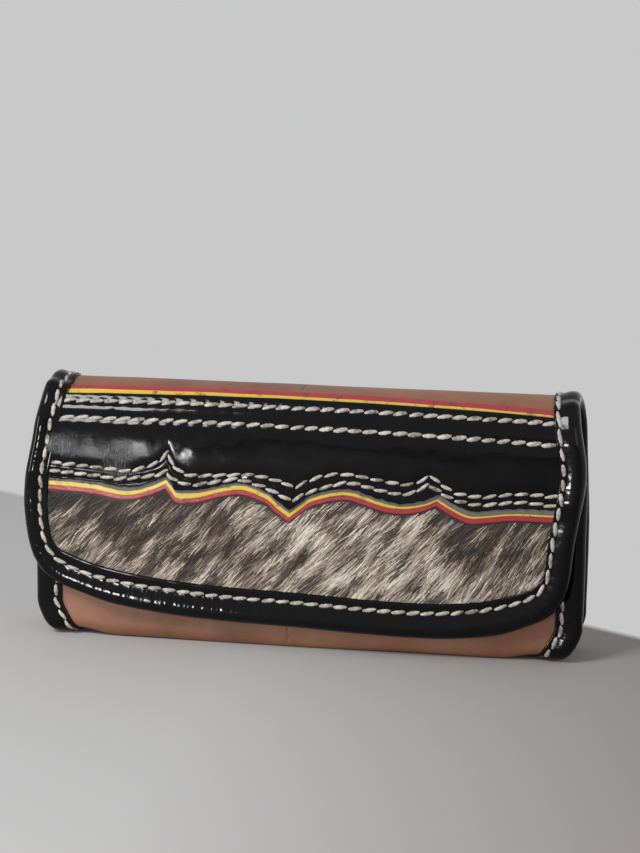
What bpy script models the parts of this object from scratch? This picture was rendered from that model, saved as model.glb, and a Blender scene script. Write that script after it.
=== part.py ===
"""A long flap wallet in tan leather, standing on its folded base.

The leather cover is one sheet: front panel, base, back, spine and flap. Its pieces are drawn flat, as a leather
worker cuts them, with u along the wallet, v along the sheet from the mouth of the front panel, and h out of its
face. They are then folded into the closed wallet. X is along the wallet, -Y is the front, and the origin is the
centre of the flat base.
"""

import math

import bmesh
import bpy
import numpy as np
from mathutils import Vector

MM = 0.001

# The closed wallet
WALLET_LENGTH = 195 * MM
BODY_DEPTH = 26 * MM
WALLET_HEIGHT = 92.4 * MM
MOUTH_BELOW_SPINE = 3.85 * MM
BASE_FOLD_RADIUS = 4 * MM
COVER_THICKNESS = 1.5 * MM
CLEARANCE = 0.3 * MM
END_DEPTH_SHARE = 0.9
END_LIFT = 2.05 * MM
LIFT_HEIGHT = 24 * MM

# Where the pattern is creased, from the middle of the wallet to its end
HALF_LENGTH = WALLET_LENGTH / 2
LENGTH_LINES = tuple(HALF_LENGTH * share for share in (0, 0.3, 0.7, 0.84, 1.05))
LIFT_END = LENGTH_LINES[3]

# The body's edge, and how much narrower the cover is at the base, the back crease and the spine
BODY_INSET = 0.2 * MM
BODY_HALF_WIDTH = HALF_LENGTH - BODY_INSET
BASE_NARROWING = 8.3 * MM
CREASE_NARROWING = 1.8 * MM
SPINE_NARROWING = 3.8 * MM
MOUTH_CORNER = 12 * MM
BASE_WAIST_HEIGHT = 12 * MM

# The flap: how high its edge hangs above the table, and how far it was cut out of true
FLAP_EDGE_HEIGHT = 9.15 * MM
FLAP_SKEW = math.tan(math.radians(0.8))
FLAP_LEAN = 3.1 * MM
LEAN_SHARES = (0.044, 0.487)
FLAP_DROOP = 2.9 * MM
DROOP_SHARES = (0.36, 0.74)
DROOP_ACROSS = (0.05 * HALF_LENGTH, 0.65 * HALF_LENGTH)
# Half outline of the flap: millimetres in from the body's edge, share of the flap's drop from the top of the front
FLAP_SIDE = ((3, -0.148), (0.7, 0.044), (-0.3, 0.266), (0.5, 0.487), (1.9, 0.65), (4.5, 0.753), (9.3, 0.832),
             (17.3, 0.892), (29.3, 0.939), (47.3, 0.975), (72.3, 0.996))

# Layers of the flap, from the cover outwards
HIDE_THICKNESS = 0.8 * MM
YELLOW_THICKNESS = 0.5 * MM
GREY_THICKNESS = 0.3 * MM
PATENT_THICKNESS = 0.8 * MM
# Top edges: distance below the top of the front, how far both ends bow down, how far the right end tilts down
RED_TOP = (-15.7 * MM, 2.6 * MM, 1.2 * MM)
YELLOW_TOP = (-13.8 * MM, 2.6 * MM, 1.2 * MM)
GREY_TOP = (-12.5 * MM, 2.6 * MM, 0.5 * MM)
PATENT_TOP = (-12 * MM, 2.6 * MM, 0.5 * MM)
TOP_NARROWING = 3.6 * MM
# Scalloped edge between yellow and red, cut by hand: distance from the middle, distance below the top
SCALLOP = ((-88, 22.3), (-74, 22.6), (-60.5, 24.2), (-51.3, 21.7), (-46.6, 19.1), (-44.3, 21.7), (-41.6, 24),
           (-35, 23.4), (-21, 19.7), (-11, 22.2), (-6.6, 25.3), (-1.8, 28.4), (1.5, 25.4), (5.9, 22), (17, 19.3),
           (30, 22.3), (37.5, 22.8), (44.2, 21.4), (48.3, 19.4), (52.3, 21.6), (59.7, 24.5), (66, 24.1), (75, 22.9),
           (88, 22.8))
SCALLOP_CUSPS = (4, 11, 18)
RED_BELOW_SCALLOP = 2 * MM
YELLOW_ABOVE_SCALLOP = 1.7 * MM
GREY_ABOVE_SCALLOP = 2.9 * MM

# Binding
BINDING_THICKNESS = 0.9 * MM
ROLL_WIDTH = 2.6 * MM
ROLL_SWELL = 0.6 * MM
BODY_LEG = 10 * MM
FLAP_LEG = 9.5 * MM
INNER_LEG = 8.5 * MM

# Stitching
STITCH_PITCH = 5.1 * MM
THREAD_WIDTH = 1.5 * MM
THREAD_HEIGHT = 0.6 * MM
BODY_SEAM = 7.3 * MM
FLAP_SEAM = 8 * MM
SEAM_END = 3 * MM
# Straight rows, measured as the top edges are
TOP_ROWS = {"top_stitching_upper": (-8.8 * MM, 1.5 * MM, 0), "top_stitching_lower": (-3 * MM, 1.5 * MM, 0)}
# Rows along the scallop, measured as it is, and which of their points are sharp
SCALLOP_ROWS = {
    "scallop_stitching_upper": (((-86.5, 13.8), (-67.4, 14.8), (-60.5, 15.1), (-51.3, 11.9), (-47.2, 7.4),
                                 (-45.8, 10.7), (-43.5, 13.2), (-38, 15.3), (-26, 14.5), (-16.8, 13.9), (-6.5, 15.6),
                                 (-1.5, 17.5), (5.5, 13.6), (15.5, 11.7), (35, 13.9), (41, 12.7), (44.4, 10.2),
                                 (48.2, 12.6), (54, 15.8), (63.6, 16.7), (76.4, 15), (86.5, 15.4)), (4, 11, 16)),
    "scallop_stitching_lower": (((-86.5, 16.8), (-72, 17.6), (-62.8, 18.1), (-51.3, 16.2), (-46.7, 14.3),
                                 (-44.5, 16.9), (-37.6, 18.6), (-28, 16.9), (-21.3, 15.8), (-11.4, 18.1),
                                 (-1.7, 22.2), (5.6, 18.1), (16.7, 14.7), (27.7, 16.5), (36.5, 17.5), (41.6, 15.4),
                                 (44.5, 13.5), (48.3, 15.6), (53.6, 18.1), (63, 19.6), (76.6, 17.9), (86.5, 18.8)),
                                (4, 10, 16))}

# Inside
GUSSET_THICKNESS = 0.9 * MM
GUSSET_APEX_INSET = 13.8 * MM
GUSSET_BEND_INSET = 5.8 * MM
GUSSET_EDGE_INSET = 2.1 * MM
GUSSET_BOTTOM = 5 * MM
GUSSET_BELOW_MOUTH = 5 * MM
TIER_THICKNESS = 0.9 * MM
TIER_BOTTOM = 12.5 * MM
TIERS_BELOW_MOUTH = {"card_tier_back": 7 * MM, "card_tier_middle": 16 * MM, "card_tier_front": 25 * MM}
POCKET_WALL = 0.9 * MM
POCKET_GAP = 6.4 * MM
POCKET_BELOW_MOUTH = 14 * MM
POCKET_PLACE = -1.5 * MM

# Zip of the coin pocket
TAPE_THICKNESS = 0.6 * MM
TAPE_EDGE = 2 * MM
TEETH_WIDTH = 1.1 * MM
TEETH_HEIGHT = 2 * MM
TEETH_GAP = 1 * MM
TEETH_PITCH = 8 * MM
ZIP_END_MARGIN = 8.7 * MM
STOP_LENGTH = 2 * MM
SLIDER_LENGTH = 9 * MM
SLIDER_WIDTH = 5.2 * MM
PLATE_THICKNESS = 0.9 * MM
BLADE_THICKNESS = 0.4 * MM
ARCH_LENGTH = 6.4 * MM
ARCH_WIDTH = 1.2 * MM
ARCH_WALL = 0.7 * MM
PULL_LENGTH = 13 * MM
PULL_WIDTH = 5 * MM
PULL_THICKNESS = 1 * MM
PULL_EYE_LENGTH = 4.3 * MM
PULL_EYE_WIDTH = 2.4 * MM
PULL_LIFT = 1 * MM

# Magnetic snap
SNAP_MARGIN = 0.35 * MM
SNAP_RADIUS = 7 * MM
SNAP_THICKNESS = 1.35 * MM
POST_RADIUS = 2 * MM
WASHER_RADIUS = 5.5 * MM
WASHER_THICKNESS = 0.5 * MM
SNAP_SIDES = 12

# What follows from the sizes above
HALF_DEPTH = BODY_DEPTH / 2
SNAP_SPACE = 2 * SNAP_THICKNESS + 3 * CLEARANCE
SPINE_RADIUS = (BODY_DEPTH + SNAP_SPACE + COVER_THICKNESS) / 2
SPINE_HEIGHT = WALLET_HEIGHT - SPINE_RADIUS
MOUTH_HEIGHT = SPINE_HEIGHT - MOUTH_BELOW_SPINE
FLAP_DROP = SPINE_HEIGHT - FLAP_EDGE_HEIGHT
SPINE_STEPS = 10
WAIST_STEPS = 5
# The flap's binding climbs onto the layers between these places before the top of the front
CLIMB_START = -0.6 * math.pi * SPINE_RADIUS
CLIMB_END = -0.4 * math.pi * SPINE_RADIUS
CREASE_HALF_WIDTH = BODY_HALF_WIDTH - CREASE_NARROWING
SPINE_HALF_WIDTH = BODY_HALF_WIDTH - SPINE_NARROWING
POCKET_TOP = MOUTH_HEIGHT - POCKET_BELOW_MOUTH
POCKET_HALF_LENGTH = BODY_HALF_WIDTH - GUSSET_APEX_INSET - GUSSET_THICKNESS - CLEARANCE
TEETH_HALF_LENGTH = POCKET_HALF_LENGTH - ZIP_END_MARGIN
SNAP_HEIGHT = FLAP_EDGE_HEIGHT + INNER_LEG + SNAP_RADIUS + SNAP_MARGIN
FLAP_FACE = -(HALF_DEPTH + SNAP_SPACE + COVER_THICKNESS)
LEG_TOP = CLEARANCE + BINDING_THICKNESS

# Colour, roughness and metallic value of each material
TAN_LEATHER = ((0.30, 0.13, 0.065), 0.5, 0)
BLACK_PATENT = ((0.008, 0.008, 0.009), 0.12, 0)
RED_LEATHER = ((0.36, 0.035, 0.045), 0.4, 0)
YELLOW_LEATHER = ((0.66, 0.5, 0.06), 0.4, 0)
GREY_LEATHER = ((0.09, 0.085, 0.08), 0.7, 0)
COW_HAIR = ((0.16, 0.13, 0.105), 0.8, 0)
WAXED_THREAD = ((0.72, 0.68, 0.58), 0.7, 0)
LINING_LEATHER = ((0.17, 0.08, 0.045), 0.6, 0)
ZIP_TAPE = ((0.012, 0.012, 0.012), 0.9, 0)
BRASS = ((0.72, 0.52, 0.24), 0.3, 1)
NICKEL = ((0.6, 0.58, 0.55), 0.25, 1)


def clear_scene():
    for obj in list(bpy.data.objects):
        bpy.data.objects.remove(obj)


def make_collection(name):
    collection = bpy.data.collections.new(name)
    bpy.context.scene.collection.children.link(collection)
    return collection


def material(name, look):
    colour, roughness, metallic = look
    made = bpy.data.materials.new(name)
    made.use_nodes = True
    shader = made.node_tree.nodes["Principled BSDF"]
    shader.inputs["Base Color"].default_value = (*colour, 1)
    shader.inputs["Roughness"].default_value = roughness
    shader.inputs["Metallic"].default_value = metallic
    made.diffuse_color = (*colour, 1)
    return made


# The fold

def profile_stations():
    """Points along the closed cover's outer face: length along the sheet, y, z, and the way the face looks."""
    straight_front = MOUTH_HEIGHT - BASE_FOLD_RADIUS
    straight_back = SPINE_HEIGHT - BASE_FOLD_RADIUS
    base = BODY_DEPTH - 2 * BASE_FOLD_RADIUS
    fold_turn, spine_turn = math.radians(90), math.radians(180)
    stretches = (
        (MOUTH_HEIGHT - LIFT_HEIGHT, 0, 1),
        (straight_front - (MOUTH_HEIGHT - LIFT_HEIGHT), 0, 1),
        (BASE_FOLD_RADIUS * fold_turn, fold_turn, 4),
        (base, 0, 1),
        (BASE_FOLD_RADIUS * fold_turn, fold_turn, 4),
        (LIFT_HEIGHT - BASE_FOLD_RADIUS, 0, 1),
        (straight_back - (LIFT_HEIGHT - BASE_FOLD_RADIUS), 0, 1),
        (SPINE_RADIUS * spine_turn, spine_turn, SPINE_STEPS),
        (2 * FLAP_DROP, 0, 1),
    )
    v, y, z, heading = 0, -HALF_DEPTH, MOUTH_HEIGHT, math.radians(-90)
    stations = [(v, y, z, math.sin(heading), -math.cos(heading))]
    for length, turn, steps in stretches:
        step = length / steps
        for _ in range(steps):
            middle = heading + turn / steps / 2
            chord = step if turn == 0 else 2 * length / turn * math.sin(turn / steps / 2)
            y += chord * math.cos(middle)
            z += chord * math.sin(middle)
            heading += turn / steps
            v += step
            stations.append((v, y, z, math.sin(heading), -math.cos(heading)))
    return np.array(stations)


STATIONS = profile_stations()
BACK_CREASE_V = (MOUTH_HEIGHT + SPINE_HEIGHT - 2 * BASE_FOLD_RADIUS + math.pi * BASE_FOLD_RADIUS
                 + BODY_DEPTH - 2 * BASE_FOLD_RADIUS)
FLAP_V = BACK_CREASE_V + math.pi * SPINE_RADIUS
BASE_MIDDLE_V = MOUTH_HEIGHT - BASE_FOLD_RADIUS + math.pi / 2 * BASE_FOLD_RADIUS + HALF_DEPTH - BASE_FOLD_RADIUS


def settle(x, y, z):
    """The soft shape of the standing wallet: thinner towards its ends, which lift off the table."""
    depth_shares = [1 - (1 - END_DEPTH_SHARE) * (line / HALF_LENGTH) ** 2 for line in LENGTH_LINES]
    lifts = [END_LIFT if line >= LIFT_END else 0 for line in LENGTH_LINES]
    y = y * np.interp(abs(x), LENGTH_LINES, depth_shares)
    z = z + np.interp(abs(x), LENGTH_LINES, lifts) * max(0, 1 - z / LIFT_HEIGHT)
    return Vector((x, y, z))


def profile_point(v, h):
    sheet, y, z, out_y, out_z = STATIONS.T
    return (np.interp(v, sheet, y) + h * np.interp(v, sheet, out_y),
            np.interp(v, sheet, z) + h * np.interp(v, sheet, out_z))


def fold(u, v, h):
    return settle(u, *profile_point(v, h))


# Flat lines on the pattern

def smooth(knots, cusps=(), steps=3):
    """A smooth line through knots, with a point at each knot named as a cusp."""
    line = [knots[0]]
    last = len(knots) - 1
    for i in range(last):
        a, b = Vector(knots[i]), Vector(knots[i + 1])
        before = a if i == 0 or i in cusps else Vector(knots[i - 1])
        after = b if i + 1 == last or i + 1 in cusps else Vector(knots[i + 2])
        for k in range(1, steps + 1):
            t = k / steps
            leave, arrive = (b - before) / 2, (after - a) / 2
            point = (a * (2 * t**3 - 3 * t**2 + 1) + leave * (t**3 - 2 * t**2 + t)
                     + b * (3 * t**2 - 2 * t**3) + arrive * (t**3 - t**2))
            line.append(tuple(point))
    return line


def mirrored(half):
    """A whole line from its right half, which ends on the middle."""
    return half + [(-u, v) for u, v in reversed(half[:-1])]


def skewed(line):
    """Moves a line drawn square to the flap to where the hand-cut flap has it: lower at its right, leaning left
    and drooping at its lower right."""
    leaning = [FLAP_V + share * FLAP_DROP for share in LEAN_SHARES]
    drooping = [FLAP_V + share * FLAP_DROP for share in DROOP_SHARES]
    moved = []
    for u, v in line:
        lean = float(np.interp(v, leaning, (0, FLAP_LEAN)))
        droop = float(np.interp(v, drooping, (0, FLAP_DROOP)) * np.interp(u, DROOP_ACROSS, (0, 1)))
        skew = FLAP_SKEW * u * min(1, max(0, (v - FLAP_V - CLIMB_END) / -CLIMB_END))
        moved.append((u - lean, v + skew + droop))
    return moved


def inset(line, distance):
    """An open line moved to its right, which is inwards on the edge lines."""
    moved = []
    for i, point in enumerate(line):
        before, after = Vector(line[max(i - 1, 0)]), Vector(line[min(i + 1, len(line) - 1)])
        along = (after - before).normalized()
        moved.append((point[0] - along.y * distance, point[1] + along.x * distance))
    return moved


def between(line, low, high):
    """The stretch of an open line whose v lies between two values, with its ends cut exactly there."""
    kept = []
    for (u0, v0), (u1, v1) in zip(line, line[1:]):
        for limit in sorted((low, high), reverse=v0 > v1):
            if min(v0, v1) < limit < max(v0, v1):
                share = (limit - v0) / (v1 - v0)
                kept.append((u0 + (u1 - u0) * share, limit))
        if low < v1 < high:
            kept.append((u1, v1))
    if low < line[0][1] < high:
        kept.insert(0, line[0])
    return kept


def cover_edge_half():
    """The right edge of the cover's binding, from the middle of the mouth, round the base and over the spine."""
    corner = [(BODY_HALF_WIDTH - MOUTH_CORNER * (1 - math.sin(a)), MOUTH_CORNER * (1 - math.cos(a)))
              for a in (math.radians(22.5 * k) for k in range(5))]
    waist_length = BASE_WAIST_HEIGHT + BASE_MIDDLE_V - MOUTH_HEIGHT
    waist = []
    for k in range(-WAIST_STEPS, WAIST_STEPS + 1):
        share = 1 - abs(k) / WAIST_STEPS
        narrowing = BASE_NARROWING * (3 * share**2 - 2 * share**3)
        waist.append((BODY_HALF_WIDTH - narrowing, BASE_MIDDLE_V + waist_length * k / WAIST_STEPS))
    spine = smooth([(BODY_HALF_WIDTH, BACK_CREASE_V - SPINE_RADIUS * 2), (CREASE_HALF_WIDTH, BACK_CREASE_V),
                    (SPINE_HALF_WIDTH, (BACK_CREASE_V + FLAP_V) / 2)]
                   + [(BODY_HALF_WIDTH - distance * MM, FLAP_V + share * FLAP_DROP) for distance, share in FLAP_SIDE]
                   + [(0, FLAP_V + FLAP_DROP)], steps=2)
    return corner + waist + spine


def cover_edge():
    """Body edge and flap edge, each as a line with the cover on its left."""
    half = cover_edge_half()
    body = between(half, -1, BACK_CREASE_V)
    left_body = [(-u, v) for u, v in body]
    flap = [point for point in half if point[1] > BACK_CREASE_V - SPINE_RADIUS]
    whole_flap = skewed(mirrored(flap))
    return list(reversed(left_body)) + body, whole_flap


# Making solids from the pattern

def link(obj, collection, made_of):
    collection.objects.link(obj)
    obj.data.materials.clear()
    obj.data.materials.append(made_of)
    return obj


def curve_object(lines, closed):
    data = bpy.data.curves.new("pattern", "CURVE")
    for line in lines:
        spline = data.splines.new("POLY")
        spline.points.add(len(line) - 1)
        for point, place in zip(spline.points, line):
            point.co = (*place[:2], 0, 1)
            if len(place) > 2:
                point.radius = place[2]
        spline.use_cyclic_u = closed
    obj = bpy.data.objects.new("pattern", data)
    bpy.context.scene.collection.objects.link(obj)
    return obj


def to_mesh(obj, name):
    """A welded mesh of an object as it is evaluated, in place of the object."""
    bpy.context.view_layer.update()
    graph = bpy.context.evaluated_depsgraph_get()
    mesh = bpy.data.meshes.new_from_object(obj.evaluated_get(graph))
    mesh.transform(obj.matrix_world)
    bpy.data.objects.remove(obj)
    bm = bmesh.new()
    bm.from_mesh(mesh)
    bmesh.ops.remove_doubles(bm, verts=bm.verts, dist=1e-6)
    bmesh.ops.dissolve_limit(bm, angle_limit=0.002, verts=bm.verts, edges=bm.edges)
    face_out(bm)
    bm.to_mesh(mesh)
    bm.free()
    mesh.name = name
    return bpy.data.objects.new(name, mesh)


def cut_lines(bm, planes):
    for point, normal in planes:
        everything = bm.verts[:] + bm.edges[:] + bm.faces[:]
        bmesh.ops.bisect_plane(bm, geom=everything, plane_co=point, plane_no=normal, dist=1e-7)


def crease_planes(across):
    """Planes across the length of the wallet, and planes at the given places along the second axis."""
    lengths = [side * line for line in LENGTH_LINES[1:-1] for side in (-1, 1)]
    return [((x, 0, 0), (1, 0, 0)) for x in lengths] + [((0, v, 0), (0, 1, 0)) for v in across]


def finish(bm, mesh, shape):
    """Splits the faces into triangles, moves each point by the given shape, and turns the faces outwards."""
    bmesh.ops.triangulate(bm, faces=bm.faces)
    for vert in bm.verts:
        vert.co = shape(*vert.co)
    face_out(bm)
    bm.to_mesh(mesh)
    bm.free()


def face_out(bm):
    if bm.calc_volume(signed=True) < 0:
        bmesh.ops.reverse_faces(bm, faces=bm.faces)


def fold_object(obj, shape=fold):
    bm = bmesh.new()
    bm.from_mesh(obj.data)
    cut_lines(bm, crease_planes(STATIONS[1:-1, 0]))
    finish(bm, obj.data, shape)
    return obj


def over_hide(u, v, h):
    """The fold for what runs along the flap's edge: it climbs onto the layers where they begin."""
    climb = np.interp(v, (FLAP_V + CLIMB_START, FLAP_V + CLIMB_END), (0, HIDE_THICKNESS + CLEARANCE))
    return fold(u, v, h + climb if h > 0 else h)


def sheet(name, collection, look, outline, bottom, thickness, holes=()):
    """A flat leather piece of the given outline, folded onto the wallet at the given height over the cover's face."""
    obj = curve_object([outline, *holes], True)
    obj.data.dimensions = "2D"
    obj.data.fill_mode = "BOTH"
    obj.data.extrude = thickness / 2
    obj.location.z = bottom + thickness / 2
    return link(fold_object(to_mesh(obj, name)), collection, material(name, look))


def swept(line, section, name):
    """A flat solid with the given section along a line. The section's first axis points to the line's left."""
    section = [(-across, height) for across, height in section]
    obj = curve_object([line], False)
    obj.data.dimensions = "3D"
    obj.data.twist_mode = "Z_UP"
    profile = curve_object([section], True)
    obj.data.bevel_mode = "OBJECT"
    obj.data.bevel_object = profile
    obj.data.use_fill_caps = True
    made = to_mesh(obj, name)
    bpy.data.objects.remove(profile)
    return made


def binding(name, collection, edge, leg, inner_leg, shape):
    """A strip of patent leather folded round the cover's edge, rolled at the fold, with a leg on each face."""
    leg_bottom = CLEARANCE
    top = leg_bottom + BINDING_THICKNESS
    under = -COVER_THICKNESS - CLEARANCE
    bottom = under - BINDING_THICKNESS
    swell, roll = ROLL_SWELL, ROLL_WIDTH
    section = ((leg, leg_bottom), (leg, top), (2 * roll, top), (roll, top + swell), (roll / 4, top),
               (0, (top + bottom) / 2), (roll / 4, bottom), (inner_leg, bottom), (inner_leg, under), (roll, under),
               (roll, leg_bottom))
    obj = swept(edge, section, name)
    return link(fold_object(obj, shape=shape), collection, material(name, BLACK_PATENT))


def line_length(line):
    return sum((Vector(b) - Vector(a)).length for a, b in zip(line, line[1:]))


def stitched(name, collection, line, surface, shape=fold):
    """A row of stitches: one thread that is full between its holes and thin where it dips into them."""
    length = line_length(line)
    count = max(2, round(length / STITCH_PITCH))
    walked = np.cumsum([0] + [(Vector(b) - Vector(a)).length for a, b in zip(line, line[1:])])
    u, v = np.array(line).T
    places = []
    for k in range(2 * count + 1):
        distance = length * k / (2 * count)
        places.append((np.interp(distance, walked, u), np.interp(distance, walked, v), 1 if k % 2 else 0.4))
    half = THREAD_WIDTH / 2
    section = ((-half, 0), (half, 0), (0, THREAD_HEIGHT))
    obj = fold_object(swept(places, section, name), lambda u, v, h: shape(u, v, h + surface + CLEARANCE))
    return link(obj, collection, material(name, WAXED_THREAD))


def settle_object(obj, level=LIFT_HEIGHT):
    """Cuts a standing piece where the wallet bends and gives it the wallet's soft shape."""
    bm = bmesh.new()
    bm.from_mesh(obj.data)
    cut_lines(bm, crease_planes(()) + [((0, 0, level), (0, 0, 1))])
    finish(bm, obj.data, settle)
    return obj


def box(low, high):
    low, high = Vector(low), Vector(high)
    bm = bmesh.new()
    bmesh.ops.create_cube(bm, size=1)
    for vert in bm.verts:
        vert.co = (low + high) / 2 + vert.co * (high - low)
    return bm


def box_object(name, low, high):
    bm = box(low, high)
    mesh = bpy.data.meshes.new(name)
    bm.to_mesh(mesh)
    bm.free()
    return bpy.data.objects.new(name, mesh)


# The cover and its edges

def cover_pieces(collection, body_edge, flap_edge):
    body_line = inset(body_edge, ROLL_WIDTH + CLEARANCE)
    flap_line = inset(flap_edge, ROLL_WIDTH + CLEARANCE)
    half_gap = CLEARANCE / 2
    sheet("body_cover", collection, TAN_LEATHER, between(body_line, -1, BACK_CREASE_V - half_gap), -COVER_THICKNESS,
          COVER_THICKNESS, [hole(MOUTH_HEIGHT - SNAP_HEIGHT)])
    sheet("flap_cover", collection, TAN_LEATHER, between(flap_line, BACK_CREASE_V + half_gap, math.inf),
          -COVER_THICKNESS, COVER_THICKNESS, [hole(FLAP_V + SPINE_HEIGHT - SNAP_HEIGHT)])


def hole(v):
    radius = POST_RADIUS + CLEARANCE
    turns = [2 * math.pi * k / SNAP_SIDES for k in range(SNAP_SIDES)]
    return [(radius * math.cos(a), v + radius * math.sin(a)) for a in turns]


def edge_pieces(collection, body_edge, flap_edge):
    half_gap = CLEARANCE / 2
    body_line = between(body_edge, -1, BACK_CREASE_V - half_gap)
    binding("body_binding", collection, body_line, BODY_LEG, INNER_LEG, fold)
    flap_line = between(flap_edge, BACK_CREASE_V + half_gap, math.inf)
    binding("flap_binding", collection, flap_line, FLAP_LEG, INNER_LEG, over_hide)

    body_seam = between(inset(body_edge, BODY_SEAM), -1, BACK_CREASE_V - SEAM_END)
    stitched("body_stitching", collection, body_seam, LEG_TOP)
    flap_seam = between(inset(flap_edge, FLAP_SEAM), BACK_CREASE_V + SEAM_END, math.inf)
    stitched("flap_edge_stitching", collection, flap_seam, LEG_TOP, over_hide)


# The layers on the flap

def flap_row(course, half_width, steps=4):
    """A line across the flap, from how far it lies below the top of the front, its bow and its tilt."""
    depth, bow, tilt = course
    line = []
    for k in range(-steps, steps + 1):
        u = half_width * k / steps
        line.append((u, FLAP_V + depth + bow * (u / HALF_LENGTH) ** 2 + tilt * u / HALF_LENGTH))
    return skewed(line)


def scallop(knots, cusps, rise, half_width):
    """A scalloped line across the flap, raised by a distance and reaching to a half width."""
    line = [(u * MM, FLAP_V + w * MM - rise) for u, w in knots]
    line[0] = (-half_width, line[0][1])
    line[-1] = (half_width, line[-1][1])
    return skewed(smooth(line, cusps, steps=2))


def layer_pieces(collection, flap_edge):
    under_leg = SPINE_HALF_WIDTH + BODY_INSET - ROLL_WIDTH - 2 * CLEARANCE
    at_lip = HALF_LENGTH - FLAP_LEG - CLEARANCE
    first = CLEARANCE
    second = first + HIDE_THICKNESS + CLEARANCE
    third = second + YELLOW_THICKNESS + CLEARANCE
    fourth = third + GREY_THICKNESS + CLEARANCE
    top_half = at_lip - TOP_NARROWING

    red_edge = scallop(SCALLOP, SCALLOP_CUSPS, -RED_BELOW_SCALLOP, under_leg)
    hide_edge = [(u, v + CLEARANCE * 1.6) for u, v in red_edge]
    below = [p for p in inset(flap_edge, ROLL_WIDTH + 2 * CLEARANCE) if p[1] > max(hide_edge[0][1], hide_edge[-1][1])]
    sheet("hide_panel", collection, COW_HAIR, hide_edge + below, first, HIDE_THICKNESS)
    top = flap_row(RED_TOP, under_leg)
    sheet("red_layer", collection, RED_LEATHER, list(reversed(top)) + red_edge, first, HIDE_THICKNESS)
    for name, look, edge, rise, bottom, thickness in (
            ("yellow_layer", YELLOW_LEATHER, YELLOW_TOP, 0, second, YELLOW_THICKNESS),
            ("grey_layer", GREY_LEATHER, GREY_TOP, YELLOW_ABOVE_SCALLOP, third, GREY_THICKNESS),
            ("patent_band", BLACK_PATENT, PATENT_TOP, GREY_ABOVE_SCALLOP, fourth, PATENT_THICKNESS)):
        top = flap_row(edge, top_half)
        lower = scallop(SCALLOP, SCALLOP_CUSPS, rise, at_lip)
        sheet(name, collection, look, list(reversed(top)) + lower, bottom, thickness)

    face = fourth + PATENT_THICKNESS
    for name, course in TOP_ROWS.items():
        stitched(name, collection, flap_row(course, top_half - STITCH_PITCH / 4), face)
    for name, (knots, cusps) in SCALLOP_ROWS.items():
        stitched(name, collection, scallop(knots, cusps, 0, at_lip - STITCH_PITCH / 4), face)


# Inside the body

def gusset(name, collection, side):
    """A leather strip folded to a V at one end of the body, with a flange on each bound edge."""
    flange = HALF_DEPTH - COVER_THICKNESS - CLEARANCE - BINDING_THICKNESS - CLEARANCE - GUSSET_THICKNESS / 2
    plan = [(GUSSET_EDGE_INSET, -flange), (GUSSET_BEND_INSET, -flange), (GUSSET_APEX_INSET, POCKET_PLACE),
            (GUSSET_BEND_INSET, flange), (GUSSET_EDGE_INSET, flange)]
    mesh = bpy.data.meshes.new(name)
    bm = bmesh.new()
    bottom = [bm.verts.new((side * (BODY_HALF_WIDTH - inset), y, GUSSET_BOTTOM)) for inset, y in plan]
    edges = [bm.edges.new(pair) for pair in zip(bottom, bottom[1:])]
    raised = bmesh.ops.extrude_edge_only(bm, edges=edges)["geom"]
    for item in raised:
        if isinstance(item, bmesh.types.BMVert):
            item.co.z = MOUTH_HEIGHT - GUSSET_BELOW_MOUTH
    bm.to_mesh(mesh)
    bm.free()
    obj = bpy.data.objects.new(name, mesh)
    bpy.context.scene.collection.objects.link(obj)
    thick = obj.modifiers.new("thickness", "SOLIDIFY")
    thick.thickness = GUSSET_THICKNESS
    thick.offset = 0
    thick.use_even_offset = True
    link(settle_object(to_mesh(obj, name)), collection, material(name, LINING_LEATHER))


def card_tiers(collection):
    """Leaves on the inside of the back, each shorter than the one behind it, which hold cards between them."""
    half = CREASE_HALF_WIDTH - INNER_LEG - CLEARANCE
    back = HALF_DEPTH - COVER_THICKNESS - CLEARANCE
    for name, below_mouth in TIERS_BELOW_MOUTH.items():
        top = MOUTH_HEIGHT - below_mouth
        obj = box_object(name, (-half, back - TIER_THICKNESS, TIER_BOTTOM), (half, back, top))
        link(settle_object(obj), collection, material(name, LINING_LEATHER))
        back -= TIER_THICKNESS + CLEARANCE


def coin_pocket(collection):
    half_depth = POCKET_GAP / 2 + POCKET_WALL
    bottom = COVER_THICKNESS + BINDING_THICKNESS + 3 * CLEARANCE
    bm = box((-POCKET_HALF_LENGTH, POCKET_PLACE - half_depth, bottom),
             (POCKET_HALF_LENGTH, POCKET_PLACE + half_depth, POCKET_TOP))
    lid = [face for face in bm.faces if face.normal.z > 0.5]
    bmesh.ops.delete(bm, geom=lid, context="FACES_ONLY")
    mesh = bpy.data.meshes.new("coin_pocket")
    bm.to_mesh(mesh)
    bm.free()
    obj = bpy.data.objects.new("coin_pocket", mesh)
    bpy.context.scene.collection.objects.link(obj)
    thick = obj.modifiers.new("wall", "SOLIDIFY")
    thick.thickness = POCKET_WALL
    thick.offset = -1
    thick.use_even_offset = True
    link(settle_object(to_mesh(obj, "coin_pocket")), collection, material("coin_pocket", LINING_LEATHER))


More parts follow.
